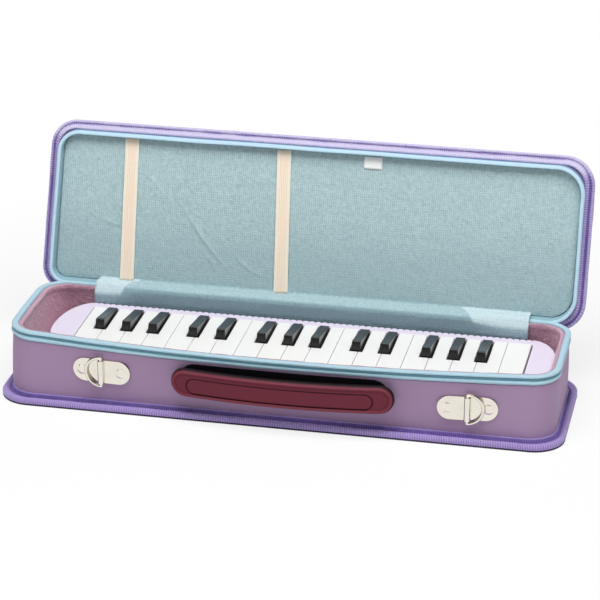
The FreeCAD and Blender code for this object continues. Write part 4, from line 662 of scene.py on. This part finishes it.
def tray_ring(out, height):
    """The wall's outline at a height, moved out by some metres; its left end bulges a little."""
    climb = max(0, (height - FOOT) / (RIM - FOOT))
    corner = max(LEAST_CORNER, WALL_CORNER + out)
    ring = []
    for x, y in outline(WALL_X + out, WALL_Y + out, [corner] * 4, BOW * climb, LEAN * climb):
        at_end = max(0, (-x - WALL_X + WALL_CORNER) / WALL_CORNER)
        bulge = END_BULGE * at_end * max(0, 1 - (y / (1.1 * WALL_Y)) ** 2)
        ring.append(Vector((x - bulge, y, height)))
    return ring


def ruffle(made, amount, size, seed, above=None):
    """Push every point along its normal by millimetres, as cloth is never quite flat.

    Points no higher than above, also in millimetres, keep their place."""
    made.normal_update()
    moves = []
    for point in made.verts:
        if above is None or point.co.z > above * MM:
            push = noise.noise(point.co / (size * MM) + Vector((seed, 0, 0)))
            moves.append((point, point.normal * push * (amount * MM)))
    for point, move in moves:
        point.co += move
    return made


print(f"tray wall {2 * WALL_X:.3f} by {2 * WALL_Y:.3f} m, bowed {BOW:.4f} m")

# %% Tray covering
top = WALL_TOP / MM
section = [(-3.5, 3.6), (-3.5, top - 0.5), (-3.2, top), (-0.5, top), (-0.1, top - 0.3)]
section += [(0.35 * math.sin(math.pi * height / top), height)
            for height in evenly(top - 1, 2, 16)]
section += [(-0.5, 0.8), (-1.6, 0.1)]
made = loft(rings(tray_ring, section), capped=True)
made = ruffle(made, 0.35, size=45, seed=3, above=10)
piece("tray_cover", made, "tray", "wall_cover", "tray_shell")

# %% [markdown]
# ## Fleece lining
# A brushed fleece is glued inside the tray.  Its upper edge is turned over into a soft roll
# just inside the zip, its foot curves into the floor, and its pile is uneven.  Grown hair
# would be slow and can't be exported, so the pile is a bumpy surface with a pale sheen.

# %% Tray lining
section = [(-3.7, 3.7), (-3.7, 30), (-3.7, 54), (-3.9, 55.8), (-4.6, 56.9), (-5.7, 57.2),
           (-6.7, 56.5), (-7.1, 55.1), (-6.7, 53.4), (-5.8, 51.6), (-5.5, 48.5), (-5.4, 46)]
section += [(-5.35, 46 - 2.6 * step) for step in range(1, 15)]
section += [(-5.6, 7.4), (-6.4, 6), (-8, 5.2), (-11, 5), (-20, 5), (-34, 5)]
made = loft(rings(tray_ring, section), capped=True)
made = ruffle(made, 0.45, size=12, seed=8, above=6)
lining = piece("tray_fleece", made, "tray", "fleece", "tray_lining")
depth = RIM - BOARD  # laid flat, the cloth has this much more on every side, but no corners
flat = (2 * (WALL_X + depth), 2 * (WALL_Y + depth))
flat[0] * flat[1] - 4 * depth * depth

# %% [markdown]
# ## Binding round the base
# A woven tape is folded over the edge of the floor board and sewn through.  The sewing pulls it
# into a groove, with a thin welt beside the wall and a fat roll outside; the finish paints shade
# into that groove.  The stitches are small bars, laid across the groove one by one, since painted
# ones would cast no shadow.  A dark sole of cloth lies under it all; its dark edge is partly
# painted shadow, standing in for the contact shadow under the base.

# %% Rings and bars of the base
def base_ring(share, height):
    """Between the wall's foot (0) and the base's outer edge (1); height in millimetres."""
    wall = Vector((WALL_X, WALL_Y, WALL_CORNER))
    x, y, corner = wall.lerp(Vector((BASE_X, BASE_Y, BASE_CORNER)), share)
    return [Vector((*spot, height * MM)) for spot in outline(x, y, [corner] * 4)]


def rungs(inner, outer, pitch):
    """Rungs from one ring to another, every pitch metres: (start, end, way along the ring)."""
    left = 0.0
    for place, here in enumerate(inner):
        beside = (place + 1) % len(inner)
        span = (inner[beside] - here).length
        while left < span:
            share = left / span
            yield (here.lerp(inner[beside], share), outer[place].lerp(outer[beside], share),
                   inner[beside] - here)
            left += pitch
        left -= span


def bars(inner, outer, up, pitch, width, thick):
    """Small bars from ring to ring, arched up (1) or down (-1); sizes in millimetres."""
    made = new_mesh()
    up = Vector((0, 0, up))
    for start, end, _ in rungs(inner, outer, pitch * MM):
        side = (end - start).normalized().cross(up).normalized() * (width * MM / 2)
        rise = up * thick * MM
        rows = []
        for step in range(5):
            middle = start.lerp(end, step / 4) + rise * math.sin(math.pi * step / 4)
            rows.append([middle - side, middle - side * 0.5 + rise * 0.5,
                         middle + side * 0.5 + rise * 0.5, middle + side])
        add_faces(made, add_points(made, rows))
    return made


print("base reaches", round(BASE_X, 4), "m to each side")

# %% Base binding, sole and stitches
BASE_SECTION = [(0.2, 1.2), (0.01, 1.2), (0, 6.4), (0.03, 7.2), (0.09, 7.5), (0.14, 6.9),
                (0.18, 5.6), (0.24, 4.4), (0.33, 4), (0.44, 4.1), (0.52, 4.8), (0.6, 5.5),
                (0.7, 6), (0.8, 6), (0.9, 5.5), (0.97, 4.6), (1, 3.5), (0.99, 2.4),
                (0.96, 1.5), (0.9, 1.2), (0.6, 1.2)]
SOLE_SECTION = [(0.5, 0), (0.5, 1.1), (0.93, 1.15), (0.965, 1.1), (0.98, 0.8), (0.975, 0.3),
                (0.95, 0)]
made = loft([base_ring(*spot) for spot in BASE_SECTION])
# the dark colour from 10 mm to 15.2 mm across is painted shade in the groove
finish = woven("base_weave", paint(187, 161, 231), paint(80, 60, 135), 10.0 * MM, 15.2 * MM)
made = ruffle(made, 0.3, size=14, seed=21, above=2)
piece("base_binding", made, "tray", "woven_binding", "tray_binding", finish)
# the sole's dark edge is partly painted shadow, standing in for the contact shadow under the base
made = loft([base_ring(*spot) for spot in SOLE_SECTION])
finish = moulded("dark_sole", paint(52, 42, 70), 0.8)
piece("base_sole", made, "tray", "woven_binding", None, finish)
made = bars(base_ring(0.14, 6.7), base_ring(0.32, 4.1), up=1, pitch=1.6, width=0.7, thick=0.35)
finish = moulded("stitch_thread", paint(124, 100, 182), 0.7)
piece("base_stitches", made, "tray", "woven_binding", None, finish)

# %% [markdown]
# ## Zips
# A zip is a woven tape with a coil along its edge.  The tape folds over the wall's rim, so it
# shows as two soft rolls with a channel between, where the coil lies; the finish paints shade into
# that channel.  The coil's turns are modelled as a row of small bars, because a pattern would look
# flat along the rim.

# %% Zip tape finish
# the colour of the tape's inner face is painted shade
TAPE_INNER_SHADE = paint(134, 176, 190)


def zip_tape(name, low, high, channel_shade_tone, light, inner=NOWHERE):
    """Zip tape with painted shade in a darker channel from low to high across it, and painted shade on its inner
    face.
    """
    nodes = new_finish(name)
    across = thread(nodes, "Y")
    weave = ribs(nodes, thread(nodes, "X"), 0.9) * ribs(nodes, across, 0.9)
    channel_shade = between(nodes, across, low, high, 0.4 * MM)
    toned = mix(nodes, channel_shade, light, channel_shade_tone)
    tone = mix(nodes, between(nodes, across, *inner, 0.5 * MM), toned, TAPE_INNER_SHADE)
    worn = mix(nodes, 0.3 * grain(nodes, 12), tone, paint(206, 230, 240))
    return surface(nodes, worn, 0.75, weave, 0.15 * MM, {"Sheen Weight": 0.2})


print("duller inside of a zip:", [round(x, 3) for x in TAPE_INNER_SHADE[:3]])

# %% Tape and coil on the tray
TRAY_TAPE = [(-0.3, 50.1), (-0.2, 51), (0.2, 51.4), (0.9, 51.5), (1.3, 52.1), (1.2, 52.9),
             (0.6, 53.5), (-0.3, 53.9), (-0.6, 54.5), (-0.5, 55.2), (0, 55.7), (0.8, 56),
             (1.2, 56.7), (1.1, 57.4), (0.4, 58), (-0.8, 58.2), (-2.2, 58.2), (-3.3, 57.8),
             (-3.7, 56.8), (-3.6, 55), (-3.2, 52), (-2, 50.2)]
COIL_PITCH = 1.3 * MM
COIL_THICK = 0.75 * MM
SQUARE = [(-1, -1), (1, -1), (1, 1), (-1, 1)]


def teeth(inner, outer):
    """The turns of a zip's coil: short square bars between two rings."""
    made = new_mesh()
    for start, end, way in rungs(inner, outer, COIL_PITCH):
        side = way.normalized() * (COIL_THICK / 2)
        out = side.cross((end - start).normalized()).normalized() * (COIL_THICK / 2)
        rows = add_points(made, [
            [spot + side * a * size + out * b * size for a, b in SQUARE]
            for spot, size in ((start, 0.6), (start.lerp(end, 0.25), 1),
                               (start.lerp(end, 0.75), 1), (end, 0.6))])
        add_faces(made, [row + row[:1] for row in rows])
        made.faces.new(rows[0][::-1])
        made.faces.new(rows[-1])
    return made


made = ruffle(loft(rings(tray_ring, TRAY_TAPE)), 0.3, size=22, seed=5)
# the darker channel is painted shade where the coil lies
finish = zip_tape("zip_tape", 4.2 * MM, 7.0 * MM, paint(126, 180, 198), paint(176, 212, 228))
piece("tray_tape", made, "tray", "zip_tape", "tray_zip_tape", finish)
made = teeth(*rings(tray_ring, [(0, 53.9), (0, 55.5)]))
finish = moulded("zip_coil", paint(116, 170, 190), 0.4)
piece("tray_coil", made, "tray", "zip_tape", None, finish)

# %% [markdown]
# ## The lid
# The lid is modelled shut, lying over the tray with its hinge line as the origin, and then
# swung open as one.  That keeps its numbers simple: x runs along the hinge, y is negative
# towards the lid's free edge, and z goes from the zip's edge (0) up to the padded top.
# Its panel is board and thin padding, so a loft with round edges is all it takes.

# %% Lid frame and sizes
lid_joint = next(joint for joint in frame["joints"] if joint["name"] == "lid_hinge")
HINGE = Vector(lid_joint["pos_m"])
LID_OPEN = math.radians(-lid_joint["range_deg"][0])
LID = Matrix.Translation(HINGE) @ Matrix.Rotation(-LID_OPEN, 4, "X")
LID_X = 229 * MM
LID_Y = 71.75 * MM
LID_MIDDLE = -63.25 * MM
LID_CORNERS = (22 * MM, 25 * MM, 24 * MM, 20 * MM)
SKIRT_X = 221.2 * MM
SKIRT_Y = 63.5 * MM
SKIRT_MIDDLE = -63.5 * MM
SKIRT_CORNERS = (17 * MM, 23 * MM, 21 * MM, 13 * MM)
SKIRT_TALL = 8 * MM
SKIRT_DROOP = 2.5 * MM
LEFT_SWELL = 1 + 1.5 * MM / LID_X


def lid_ring(out, height):
    """The lid's outline at a height, moved out by some metres; its left half is a bit longer."""
    corners = [max(LEAST_CORNER, radius + out) for radius in LID_CORNERS]
    flat = outline(LID_X + out, LID_Y + out, corners, middle=(0, LID_MIDDLE))
    return [Vector((x * (LEFT_SWELL if x < 0 else 1), y, height)) for x, y in flat]


def skirt_ring(out, height):
    corners = [radius + out for radius in SKIRT_CORNERS]
    flat = outline(SKIRT_X + out, SKIRT_Y + out, corners, middle=(0, SKIRT_MIDDLE))
    return [Vector((*spot, height)) for spot in flat]


print(f"the lid stands {math.degrees(LID_OPEN):.1f} degrees open")

# %% Lid cover
section = [(-60, 8.6), (-8.2, 8.6), (-6.2, 8.7), (-6, 9.5), (-6, 14.6), (-6.6, 15.6),
           (-8, 16.1), (-12, 16.5), (-20, 16.8), (-32, 17), (-46, 17.1), (-60, 17.1)]
made = ruffle(loft(rings(lid_ring, section), capped=True), 0.3, size=40, seed=11)
cover = piece("lid_cover", made, "lid", "wall_cover", "lid_panel")

# %% [markdown]
# ## Binding round the lid
# The lid's edge is bound like the base.  On the inside the tape rises from its stitching to a
# crest beside the zip, so along the top that slope catches the light; the finish paints it much
# paler there, a painted highlight.
# The thread that whips the outer edge stands off it a little and softens its outline, which a
# bump in the finish could never do.

# %% Lid binding
LID_SECTION = [(-8.3, 8.4), (-8, 6.8), (-7.4, 5.7), (-6.6, 5.6), (-5.4, 6.3), (-4.2, 7.3),
               (-3.3, 8.2), (-2.9, 8.7), (-2.5, 8.5), (-2, 7.8), (-1.2, 7.6), (-0.5, 8.3),
               (0, 9.8), (0.1, 12.2), (0, 14.4), (-0.6, 15.9), (-1.8, 16.7), (-3.6, 16.6),
               (-4.6, 15.8), (-5.4, 16.2), (-6.6, 16.4), (-7.6, 15.8), (-7.6, 9.4)]
made = ruffle(loft(rings(lid_ring, LID_SECTION)), 0.35, size=16, seed=31)
# the dark groove colour is painted shade; above 169 mm high a painted highlight pales the top run
finish = woven("lid_weave", paint(196, 180, 238), paint(96, 76, 150), 6.4 * MM, 8.8 * MM,
               (169 * MM, 400 * MM))
piece("lid_edge", made, "lid", "woven_binding", "lid_binding", finish)
made = bars(*rings(lid_ring, [(-3.9, 7.7), (-1.9, 7.8)]), up=-1, pitch=1.6, width=0.7, thick=-0.3)
piece("lid_stitches", made, "lid", "woven_binding", None, finishes["stitch_thread"])
made = bars(*rings(lid_ring, [(-1.3, 7.6), (0.2, 10.4)]), up=-1, pitch=1.5, width=0.8, thick=0.75)
finish = moulded("whip_thread", paint(206, 194, 238), 0.8)
piece("lid_whipping", made, "lid", "woven_binding", None, finish)

# %% Zip tape on the lid
SKIRT_SECTION = [(0.9, 8.2), (1.3, 6.9), (1.2, 5.9), (0.5, 5.2), (0.2, 4.4), (0.4, 3.7),
                 (1, 3.1), (1.3, 2.1), (1.1, 0.9), (0.5, 0.1), (-0.3, -0.2), (-1.1, -0.1),
                 (-1.8, 0.5), (-2.1, 1.6), (-2.2, 4), (-2.4, 8.2)]


def sway(spot):
    """How far the lid's soft zip droops and wanders in its own plane."""
    free = max(0, 1 - spot.z / SKIRT_TALL)
    wander = 1.2 * MM * noise.noise(Vector((spot.x / 0.07, spot.y / 0.07, 5)))
    return Vector((wander * free, (SKIRT_DROOP + 0.5 * wander) * free, 0))


made = loft(rings(skirt_ring, SKIRT_SECTION))
for point in made.verts:
    point.co += sway(point.co)
# here the painted shade covers the whole outer side, and the inner face gets painted shade too
finish = zip_tape("lid_zip_tape", -2 * MM, 7.0 * MM, paint(84, 98, 158), paint(192, 226, 246),
                  (11.6 * MM, 26 * MM))
piece("lid_tape", made, "lid", "zip_tape", "lid_zip_tape", finish)
made = teeth(*([point + sway(point) for point in ring]
               for ring in rings(skirt_ring, [(0.4, 5.1), (0.45, 3.4)])))
piece("lid_coil", made, "lid", "zip_tape", None, finishes["zip_coil"])

# %% [markdown]
# ## Knitted lid lining
# The lining is a knit cloth glued into the lid.  It has fine upright ribs, a couple of slanting
# creases where it was pulled while gluing, and it turns down into the corner beside the zip.
# A grid that narrows into the round corners gives it even, square faces.  Creases from a cloth
# simulation would fall anywhere; ridges from a sum can be put where they belong.

# %% Creases and the height of the lining
LINING_INSET = 2.8 * MM
LINING_X = SKIRT_X - LINING_INSET
LINING_Y = SKIRT_Y - LINING_INSET
LINING_LEVEL = 7.0 * MM
CREASES = [((-120, -78), (-64, -10), 1.3, 1), ((-196, -58), (-146, -46), 0.9, 1),
           ((-70, -36), (-40, -14), 0.8, 1.2), ((-150, -100), (-132, -78), 0.6, 1.1),
           ((-92, -34), (-78, -12), 0.6, 1.3), ((118, -84), (150, -60), 0.4, 1.5)]


def hump(distance, width):
    """1 at no distance, falling to almost 0 two widths away."""
    return math.exp(-(distance / width) ** 2)


def crease(spot, start, end, rise, width):
    """Height of a slanting ridge from start to end, all in millimetres."""
    start, end = Vector(start), Vector(end)
    along = end - start
    share = max(0, min(1, (spot - start).dot(along) / along.length_squared))
    bend = Vector((-along.y, along.x)).normalized() * 1.5 * math.sin(5 * share + start.x)
    aside = (spot - start - along * share - bend).length
    return rise * hump(aside, width) * math.sin(math.pi * min(1, share + 0.02))


def lining_height(x, y):
    """How high the knit lies: it turns down at its edge, swells, puckers and creases."""
    spot = Vector((x, y)) / MM
    edge_x = (LINING_X - abs(x)) / MM
    edge_y = (LINING_Y - abs(y - SKIRT_MIDDLE)) / MM
    sink = 0.9 * math.exp(-max(0, min(edge_x, edge_y)) / 2.5)
    swell = 0.6 * noise.noise(Vector((x / 0.05, y / 0.04, 2)))
    pucker = 0.25 * noise.noise(Vector((x / 0.014, y / 0.012, 9)))
    ridges = sum(crease(spot, *line) for line in CREASES)
    return LINING_LEVEL + (sink + swell + pucker - ridges) * MM


print("creases:", len(CREASES))

# %% Lid lining
def thicken(item, thick):
    """Give a one-sided cloth its thickness in millimetres."""
    solid = item.modifiers.new("thickness", "SOLIDIFY")
    solid.thickness = thick * MM
    solid.offset = 0.0


def cut_short(y, radius):
    """How much a round corner takes off a row of the lining."""
    over = max(0, abs(y) - (LINING_Y - radius))
    return radius - math.sqrt(max(0, radius ** 2 - over ** 2))


fl, fr, br, bl = (radius - LINING_INSET for radius in SKIRT_CORNERS)
spots = []
for row in eased(110):
    y = LINING_Y * row
    left = cut_short(y, fl if y < 0 else bl) - LINING_X
    right = LINING_X - cut_short(y, fr if y < 0 else br)
    y += SKIRT_MIDDLE
    spots.append([(x, y, lining_height(x, y)) for x in evenly(left, right, 340)])
lining = piece("lid_lining_cloth", grid(spots), "lid", "lid_knit", "lid_lining")
thicken(lining, 0.8)

# %% [markdown]
# ## Elastic bands
# Two bands across the lid hold a hose and a mouthpiece.  Each is a long strip with its ends
# sewn under the zip tape.  They were sewn in a little askew, so each leans.  They are taut, so
# a flat grid with a slight arch is enough, made solid by a modifier.

# %% Bands
BAND_NEAR = -3.7 * MM
BAND_SPAN = 119.2 * MM
BAND_LEVEL = 5.9 * MM


def strip(start, end, half_width, level, bulge, steps=60, columns=8):
    """A flat band between two points of the lid's plane, standing off it a little."""
    along = end - start
    side = Vector((-along.y, along.x)).normalized()
    spots, ways = [], []
    for share in evenly(0, 1, steps):
        arch = math.sin(math.pi * share)
        middle = start + along * share
        half = side * half_width * (1 - 0.02 * arch)
        spots.append([(*(middle + half * way), level - bulge * arch)
                      for way in evenly(-1, 1, columns)])
        ways.append([(along.length * share, v) for v in evenly(0, 2 * half_width, columns)])
    return grid(spots, ways)


def make_band(name, foot, lean, stands_for):
    """A band from its foot, in millimetres along the hinge, that leans by some degrees."""
    near = Vector((foot * MM, BAND_NEAR))
    lean = math.radians(lean)
    far = near - BAND_SPAN * Vector((math.sin(lean), math.cos(lean)))
    band = piece(name, strip(near, far, BAND_HALF, BAND_LEVEL, 0.4 * MM), "lid", "elastic",
                 stands_for)
    thicken(band, 0.9)


make_band("left_band", -156, 1.8, "elastic_bands")
make_band("middle_band", -23.8, 2.8, None)

# %% A small blank care label, sewn in under the top of the zip
LABEL_LONG = 15.3 * MM
LABEL_HALF = 5.2 * MM
LABEL_LEVEL = 6.3 * MM
nodes = new_finish("label_satin")
weft = ribs(nodes, thread(nodes, "Y"), 0.5)
tone = mix(nodes, 0.4 * weft, paint(255, 255, 255), paint(244, 250, 250))
finish = surface(nodes, tone, 0.55, weft, 0.05 * MM)
left = Vector((38 * MM, -117.2 * MM))
made = strip(left, left + Vector((LABEL_LONG, 0)), LABEL_HALF, LABEL_LEVEL, bulge=0.5 * MM,
             steps=12, columns=6)
label = piece("label", made, "lid", "elastic", None, finish)
thicken(label, 0.3)

# %% [markdown]
# ## Hinge cloth
# A flap of knit cloth bridges the hinge inside: it starts behind the lid's zip, folds over the
# rim of the tray and hangs down the rear wall.  It has to bend when the lid shuts, so it
# rides on neither body.  Its section is a smooth path, carried along the hinge.

# %% Drape
FLAP_LEFT, FLAP_RIGHT = (corner.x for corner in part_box("hinge_flap"))
FLAP_SOFT = (34 * MM, 44 * MM)


def lid_point(y, z):
    """A point of the lid's section, as (y, z) in the tray's frame."""
    spot = LID @ Vector((0, y * MM, z * MM))
    return spot.y / MM, spot.z / MM


def drape(section, left, right, columns, shift):
    """A cloth with the given (y, z) section, carried along x; shift moves its points."""
    spots, ways = [], []
    for place, ((y, z), way) in enumerate(zip(section, running_length(section))):
        xs = evenly(left, right, columns)
        spots.append([Vector((x, y * MM, z * MM)) + shift(x, place) for x in xs])
        ways.append([(x, way * MM) for x in xs])
    return grid(spots, ways)


def smooth_path(corners, steps):
    """More points along a polyline, rounded by a simple spline."""
    path = []
    padded = [corners[0]] + corners + [corners[-1]]
    for a, b, c, d in zip(padded, padded[1:], padded[2:], padded[3:]):
        for step in range(steps):
            t = step / steps
            path.append(tuple(0.5 * (2 * q + (r - p) * t + (2 * p - 5 * q + 4 * r - s) * t * t
                                     + (3 * q - p - 3 * r + s) * t ** 3)
                              for p, q, r, s in zip(a, b, c, d)))
    return path + [corners[-1]]


print("flap runs from", round(FLAP_LEFT, 4), "to", round(FLAP_RIGHT, 4), "m")

# %% Inner flap
FLAP_MIDDLE = [(52.4, 38), (52.3, 42), (51.9, 46), (51.2, 50), (50.5, 53.6), (50.2, 56.2),
               (51.2, 58.5), (53.8, 60), (58.2, 60.5)]
FLAP_ENDS = [(50.7, 38), (50.3, 41.5), (49.8, 45), (49.3, 48.4), (49.2, 51), (50.4, 54.2),
             (52.4, 57.4), (54.8, 60), (58, 60.9)]
FLAP_ON_LID = [(-2.3, -0.9), (-2.7, 1.4), (-2.9, 3.6), (-3.2, 5.4), (-4, 6.5), (-5.2, 6.8)]
on_lid = [lid_point(*spot) for spot in FLAP_ON_LID]
flap_path = smooth_path(FLAP_MIDDLE + on_lid, 3)
end_path = smooth_path(FLAP_ENDS + on_lid, 3)


def flap_shift(x, place):
    """Towards the ends the flap takes the other path, and where it hangs it ripples."""
    inward = min((x - FLAP_LEFT) / FLAP_SOFT[0], (FLAP_RIGHT - x) / FLAP_SOFT[1])
    near_end = 1 / (1 + math.exp(7 * (inward - 0.8)))
    slope = (Vector(end_path[place]) - Vector(flap_path[place])) * near_end
    ripple = 0.4 * noise.noise(Vector((x / 0.03, place / 6, 4)))
    ripple *= max(0, 1 - place / (3 * len(FLAP_MIDDLE)))
    return Vector((0, slope.x - ripple, slope.y)) * MM


made = drape(flap_path, FLAP_LEFT, FLAP_RIGHT, 220, flap_shift)
flap = piece("hinge_cloth", made, None, "hinge_fabric", "hinge_flap")
thicken(flap, 0.6)
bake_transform(flap)

# %% Outer gusset
section = smooth_path([(59.6, 40), (59.7, 46), (59.8, 52), (60.6, 55.4), (62.6, 56.6),
                       (64.8, 56), lid_point(0.4, 7.6)], 3)
made = drape(section, FLAP_LEFT, FLAP_RIGHT, 120, lambda x, place: Vector())
gusset = piece("hinge_back", made, None, "wall_cover", "hinge_gusset")
thicken(gusset, 0.8)
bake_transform(gusset)

# %% [markdown]
# ## The handle
# The grip is a moulded strap with round ends, bowed away from the wall.  Its face has a bead
# along its rim, a flat field and a fine groove round an inner field.  All of that is real
# shape, so the face is a dense grid whose depth comes from one function.  Each point also
# stores how far it lies from the rim and from the groove, so the finish can darken both.
# Carving it with boolean cuts would leave long thin faces that shade badly.

# %% Shape of the grip
grip_low, grip_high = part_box("handle_grip")
GRIP_X, _, GRIP_Z = (grip_low + grip_high) / 2
GRIP_HALF, _, GRIP_TALL = (grip_high - grip_low) / 2
GRIP_FRONT = grip_low.y
GRIP_BOW = 8 * MM
GRIP_THICK = 8 * MM
GRIP_ROUND = 3.4 * MM
GRIP_WAVES = [(2.1 * MM, 1.0 * MM, -0.8 * MM), (4.3 * MM, 0.7 * MM, 0.5 * MM)]
GROOVE = (0.5 * MM, 1.0 * MM)
GROOVE_SHIFT = 1.6 * MM
GROOVE_HALF, GROOVE_TALL = 75 * MM, 6.5 * MM
GRIP_SET_BACK = 0.8 * MM
MOULD_MARKS = (-57.6 * MM, 52.4 * MM)
MARK_WIDTH, MARK_DEPTH = 0.7 * MM, 0.25 * MM


def stadium_depth(x, z, half, tall):
    """Metres inside a stadium's edge; negative outside it."""
    over = max(0, abs(x) - (half - tall))
    return tall - math.hypot(over, z)


def rounding(inside):
    """How far the grip's round edge falls back at some metres inside its rim."""
    return GRIP_ROUND - math.sqrt(GRIP_ROUND ** 2 - max(0, GRIP_ROUND - inside) ** 2)


def grip_point(x, z, front):
    """A point of the grip, and its distances to the rim and to the groove.

    The waves make the bead along the rim and the dip beside it.  Points of the back count
    their distance to the rim as negative."""
    inside = max(0, stadium_depth(x, z, GRIP_HALF, GRIP_TALL))
    inner = stadium_depth(x + GROOVE_SHIFT, z + GROOVE_SHIFT, GROOVE_HALF, GROOVE_TALL)
    depth = GRIP_BOW * (x / GRIP_HALF) ** 2
    if front:
        depth += GRIP_SET_BACK + rounding(inside) + GROOVE[1] * hump(inner, GROOVE[0])
        depth += sum(deep * hump(inside - place, wide) for place, wide, deep in GRIP_WAVES)
        depth += sum(MARK_DEPTH * hump(x - mark, MARK_WIDTH) for mark in MOULD_MARKS)
    else:
        depth += GRIP_THICK - rounding(inside)
    return ((GRIP_X + x, GRIP_FRONT + depth, GRIP_Z + z),
            (inside if front else -inside, inner))


print(f"grip is {2 * GRIP_HALF:.3f} m long and {2 * GRIP_TALL:.3f} m tall")

# %% Grip
def stadium_block(half, tall, columns, rows, point_at):
    """A front and a back with the outline of a stadium, joined round their rims.

    columns and rows run from -1 to 1; point_at(x, z, front) gives a point and its cloth map."""
    made = new_mesh()
    cloth = made.loops.layers.uv["cloth"]
    ways = {}
    rims = []
    for front in (True, False):
        lines = []
        for z in (tall * row for row in rows):
            reach = half - tall + math.sqrt(max(0, tall ** 2 - z * z))
            spots = [point_at(reach * column, z, front) for column in columns]
            lines.append([made.verts.new(spot) for spot, _ in spots])
            ways.update(zip(lines[-1], (way for _, way in spots)))
        add_faces(made, lines)
        rims.append(lines[0] + [line[-1] for line in lines[1:]] + lines[-1][-2::-1]
                    + [line[0] for line in lines[-2::-1]])
    for corners in zip(rims[0], rims[0][1:], rims[1][1:], rims[1]):
        made.faces.new(corners)
    for face in made.faces:
        for loop in face.loops:
            loop[cloth].uv = ways[loop.vert]
    return made


made = stadium_block(GRIP_HALF, GRIP_TALL, eased(400), eased(64), grip_point)
piece("grip", made, "handle", "grip", "handle_grip", sharp=60)

# %% [markdown]
# ## Shadow pad behind the grip
# A thin black pad lies on the wall behind the grip: a painted shadow, standing in for the deep
# shade between the grip and the wall.  It follows the wall's lean and bow.  A shrinkwrap modifier
# could press it on, but the sum that bends the wall's outline places each point exactly.

# %% Shadow pad
PAD_THICK = 0.9 * MM
PAD_SUNK = -0.5 * MM
PAD_RAISED = 1.2 * MM


def wall_front(x, z, out):
    """A point on the tray's front wall, moved out by some metres."""
    climb = (z - FOOT) / (RIM - FOOT)
    share = min(1, abs(x) / (WALL_X - WALL_CORNER))
    return Vector((x, -WALL_Y - out + climb * (LEAN - (BOW + LEAN) * (1 - share ** 2)), z))


def pad_point(x, z, front):
    out = PAD_THICK if front else PAD_SUNK
    return wall_front(GRIP_X + x, GRIP_Z + PAD_RAISED + z, out), (0, 0)


made = stadium_block(GRIP_HALF - 6 * MM, GRIP_TALL + 0.3 * MM, evenly(-1, 1, 90), eased(14),
                     pad_point)
# a near-black sheet that paints the deep shade between grip and wall: painted shadow
finish = moulded("wear_pad", paint(14, 10, 14), 0.8, 0.05, {"Specular IOR Level": 0.1})
piece("wear_pad", made, "tray", "grip", None, finish)
